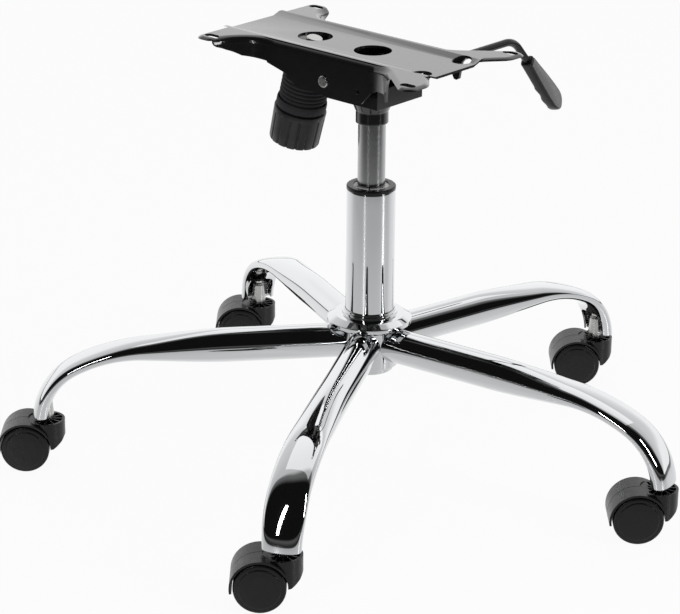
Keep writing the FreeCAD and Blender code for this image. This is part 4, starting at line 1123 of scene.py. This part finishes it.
class Studio:
    """Floor, world, lights and camera."""

    LAMPS = (
        Lamp("right_strip", 101.6, 27.0, 2.4, (0.22, 1.5), 14.0),
        Lamp("left_strip", 12.6, 27.0, 2.4, (0.10, 1.5), 6.0),
        Lamp("top_light", 200.0, 62.0, 2.6, (2.4, 1.8), 6.0),
    )
    TOWARD_CAMERA = Vector((0.664, -0.748, 0.0))
    TO_THE_RIGHT = Vector((0.748, 0.664, 0.0))
    WHITE = (1.0, 1.0, 1.0, 1.0)
    # light from the world: what the pieces are lit with, and what they mirror
    SOFT_FILL = 0.4
    BAND_GAIN = 1.7
    # levels from the horizon in front, over the top, to the horizon behind
    WORLD_BANDS = (
        (0.0, 0.03), (0.03, 0.06), (0.06, 0.004), (0.50, 0.004), (0.57, 0.10), (0.60, 0.40), (0.76, 0.50),
        (0.86, 0.72), (1.0, 0.70),
    )
    # metres
    FLOOR_HALF = 6.0
    FLOOR_GAP = 0.0006
    FLOOR_PALE = (0.90, 0.90, 0.90, 1.0)
    FLOOR_ROUGH = 0.9
    FLOOR_GLOW = 0.94
    # painted reflection: the floor's tones that only glossy rays see run from behind the object to the camera and
    # come nearer at the sides
    PAINTED_REFLECTION_SPAN = (-0.5, 1.5)
    PAINTED_REFLECTION_CURVE = 0.65
    FLOOR_PAINTED_REFLECTION = ((0.0, 0.80), (0.25, 0.74), (0.45, 0.66), (0.66, 0.52), (0.80, 0.02), (1.0, 0.01))
    SHEEN = (0.26, 0.26, 0.26, 1.0)
    SHEEN_ROUGH = 0.32
    AIM_HEIGHT = 0.2
    SENSOR_MM = 36.0
    SIGHT_END = 30.0

    def build(self) -> None:
        """Sets the whole studio up."""
        self._world()
        self._floor()
        for lamp in self.LAMPS:
            self._lamp(lamp)
        self._camera(CameraSizes())
        bpy.context.scene.view_settings.view_transform = "Standard"

    def _world(self) -> None:
        """Pale for the camera, banded from front to back for reflections, soft for light."""
        world = bpy.data.worlds.new("studio")
        bpy.context.scene.world = world
        tree = NodeTree(world)
        tree.nodes.clear()
        path = tree.add("ShaderNodeLightPath")
        place = tree.add("ShaderNodeTexCoord")
        split = tree.add("ShaderNodeSeparateXYZ")
        tree.link(place.outputs["Generated"], split.inputs["Vector"])
        swing = tree.add("ShaderNodeMath")
        swing.operation = "ARCTAN2"
        tree.link(split.outputs["Z"], swing.inputs[0])
        tree.link(tree.along("Generated", self.TOWARD_CAMERA), swing.inputs[1])
        share = tree.add("ShaderNodeMapRange", From_Max=math.pi)
        tree.link(swing.outputs["Value"], share.inputs["Value"])
        pale = tree.add("ShaderNodeBackground", Color=self.WHITE, Strength=1.0)
        soft = tree.add("ShaderNodeBackground", Color=self.WHITE, Strength=self.SOFT_FILL)
        banded = tree.add("ShaderNodeBackground", Strength=self.BAND_GAIN)
        tree.link(tree.ramp(share.outputs["Result"], self.WORLD_BANDS), banded.inputs["Color"])
        glossy = tree.mix(path.outputs["Is Glossy Ray"], soft.outputs["Background"], banded.outputs["Background"])
        seen = tree.mix(path.outputs["Is Camera Ray"], glossy, pale.outputs["Background"])
        out = tree.add("ShaderNodeOutputWorld")
        tree.link(seen, out.inputs["Surface"])

    def _floor_material(self) -> bpy.types.Material:
        """White with a trace of shadow for the camera, with painted reflection tones for glossy rays, pale for
        light.
        """
        material = bpy.data.materials.new("pale_floor")
        tree = NodeTree(material)
        tree.shader.inputs["Base Color"].default_value = self.FLOOR_PALE
        tree.shader.inputs["Roughness"].default_value = self.FLOOR_ROUGH
        path = tree.add("ShaderNodeLightPath")
        aside = tree.along("Object", self.TO_THE_RIGHT)
        square = tree.add("ShaderNodeMath")
        square.operation = "MULTIPLY"
        tree.link(aside, square.inputs[0])
        tree.link(aside, square.inputs[1])
        reach = tree.add("ShaderNodeMath")
        reach.operation = "MULTIPLY_ADD"
        reach.inputs[1].default_value = self.PAINTED_REFLECTION_CURVE
        tree.link(square.outputs["Value"], reach.inputs[0])
        tree.link(tree.along("Object", self.TOWARD_CAMERA), reach.inputs[2])
        back, front = self.PAINTED_REFLECTION_SPAN
        share = tree.add("ShaderNodeMapRange", From_Min=back, From_Max=front)
        tree.link(reach.outputs["Value"], share.inputs["Value"])
        # painted reflection: a glow only glossy rays see, pale behind the object and near black towards the camera
        painted_reflection_glow = tree.add("ShaderNodeEmission", Strength=1.0)
        tree.link(tree.ramp(share.outputs["Result"], self.FLOOR_PAINTED_REFLECTION), painted_reflection_glow.inputs["Color"])
        sheen = tree.add("ShaderNodeBsdfAnisotropic", Color=self.SHEEN, Roughness=self.SHEEN_ROUGH)
        reflected = tree.add("ShaderNodeAddShader")
        tree.link(painted_reflection_glow.outputs["Emission"], reflected.inputs[0])
        tree.link(sheen.outputs["BSDF"], reflected.inputs[1])
        glow = tree.add("ShaderNodeEmission", Color=self.WHITE, Strength=1.0)
        whitening = tree.add("ShaderNodeValue")
        whitening.outputs["Value"].default_value = self.FLOOR_GLOW
        plain = tree.shader.outputs["BSDF"]
        shown = tree.mix(whitening.outputs["Value"], plain, glow.outputs["Emission"])
        seen = tree.mix(path.outputs["Is Camera Ray"], plain, shown)
        mirrored = tree.mix(path.outputs["Is Glossy Ray"], seen, reflected.outputs["Shader"])
        tree.link(mirrored, tree.nodes["Material Output"].inputs["Surface"])
        return material

    def _floor(self) -> None:
        """A pale floor that keeps a soft shadow; its painted reflection tones end in the dark in front."""
        bm = bmesh.new()
        bmesh.ops.create_grid(bm, x_segments=1, y_segments=1, size=self.FLOOR_HALF)
        bmesh.ops.translate(bm, vec=Vector((0, 0, -self.FLOOR_GAP)), verts=bm.verts)
        mesh = bpy.data.meshes.new("floor")
        bm.to_mesh(mesh)
        bm.free()
        mesh.materials.append(self._floor_material())
        floor = bpy.data.objects.new("floor", mesh)
        bpy.context.scene.collection.objects.link(floor)

    def _lamp(self, lamp: Lamp) -> None:
        """Adds one area light."""
        data = bpy.data.lights.new(lamp.name, "AREA")
        data.shape = "RECTANGLE"
        data.size, data.size_y = lamp.size
        data.energy = lamp.power
        item = bpy.data.objects.new(lamp.name, data)
        across, up = math.radians(lamp.azimuth), math.radians(lamp.elevation)
        spot = Vector((math.sin(across) * math.cos(up), -math.cos(across) * math.cos(up), math.sin(up)))
        item.location = spot * lamp.distance + Vector((0, 0, self.AIM_HEIGHT))
        item.rotation_euler = spot.to_track_quat("Z", "Y").to_euler()
        bpy.context.scene.collection.objects.link(item)

    def _camera(self, sizes: CameraSizes) -> None:
        """Puts the camera at the photograph's place."""
        turn, tilt, roll = (math.radians(v) for v in (sizes.azimuth, sizes.elevation, sizes.roll))
        right = Vector((math.cos(turn), math.sin(turn), 0))
        level = Vector((-math.sin(turn), math.cos(turn), 0))
        forward = level * math.cos(tilt) + Vector((0, 0, -math.sin(tilt)))
        upward = level * math.sin(tilt) + Vector((0, 0, math.cos(tilt)))
        target = right * sizes.target_x + Vector((0, 0, sizes.target_z))
        eye = (target - forward * sizes.distance) * MM
        across = right * math.cos(roll) - upward * math.sin(roll)
        above = right * math.sin(roll) + upward * math.cos(roll)
        data = bpy.data.cameras.new("camera")
        data.sensor_width = self.SENSOR_MM
        data.lens = sizes.focal_px / sizes.width_px * self.SENSOR_MM
        data.clip_end = self.SIGHT_END
        item = bpy.data.objects.new("camera", data)
        basis = Matrix((across, above, -forward)).transposed()
        item.matrix_world = Matrix.Translation(eye) @ basis.to_4x4()
        bpy.context.scene.collection.objects.link(item)
        bpy.context.scene.camera = item


def main() -> None:
    """Builds the whole scene."""
    logging.basicConfig(level=logging.INFO)
    star = StarSizes()
    StarBase(star).build()
    Column(ColumnSizes()).build()
    for number in range(1, star.legs + 1):
        Caster(number, star.turn(number), CasterSizes()).build()
    SeatMechanism().build()
    Studio().build()


if __name__ == "__main__":
    main()
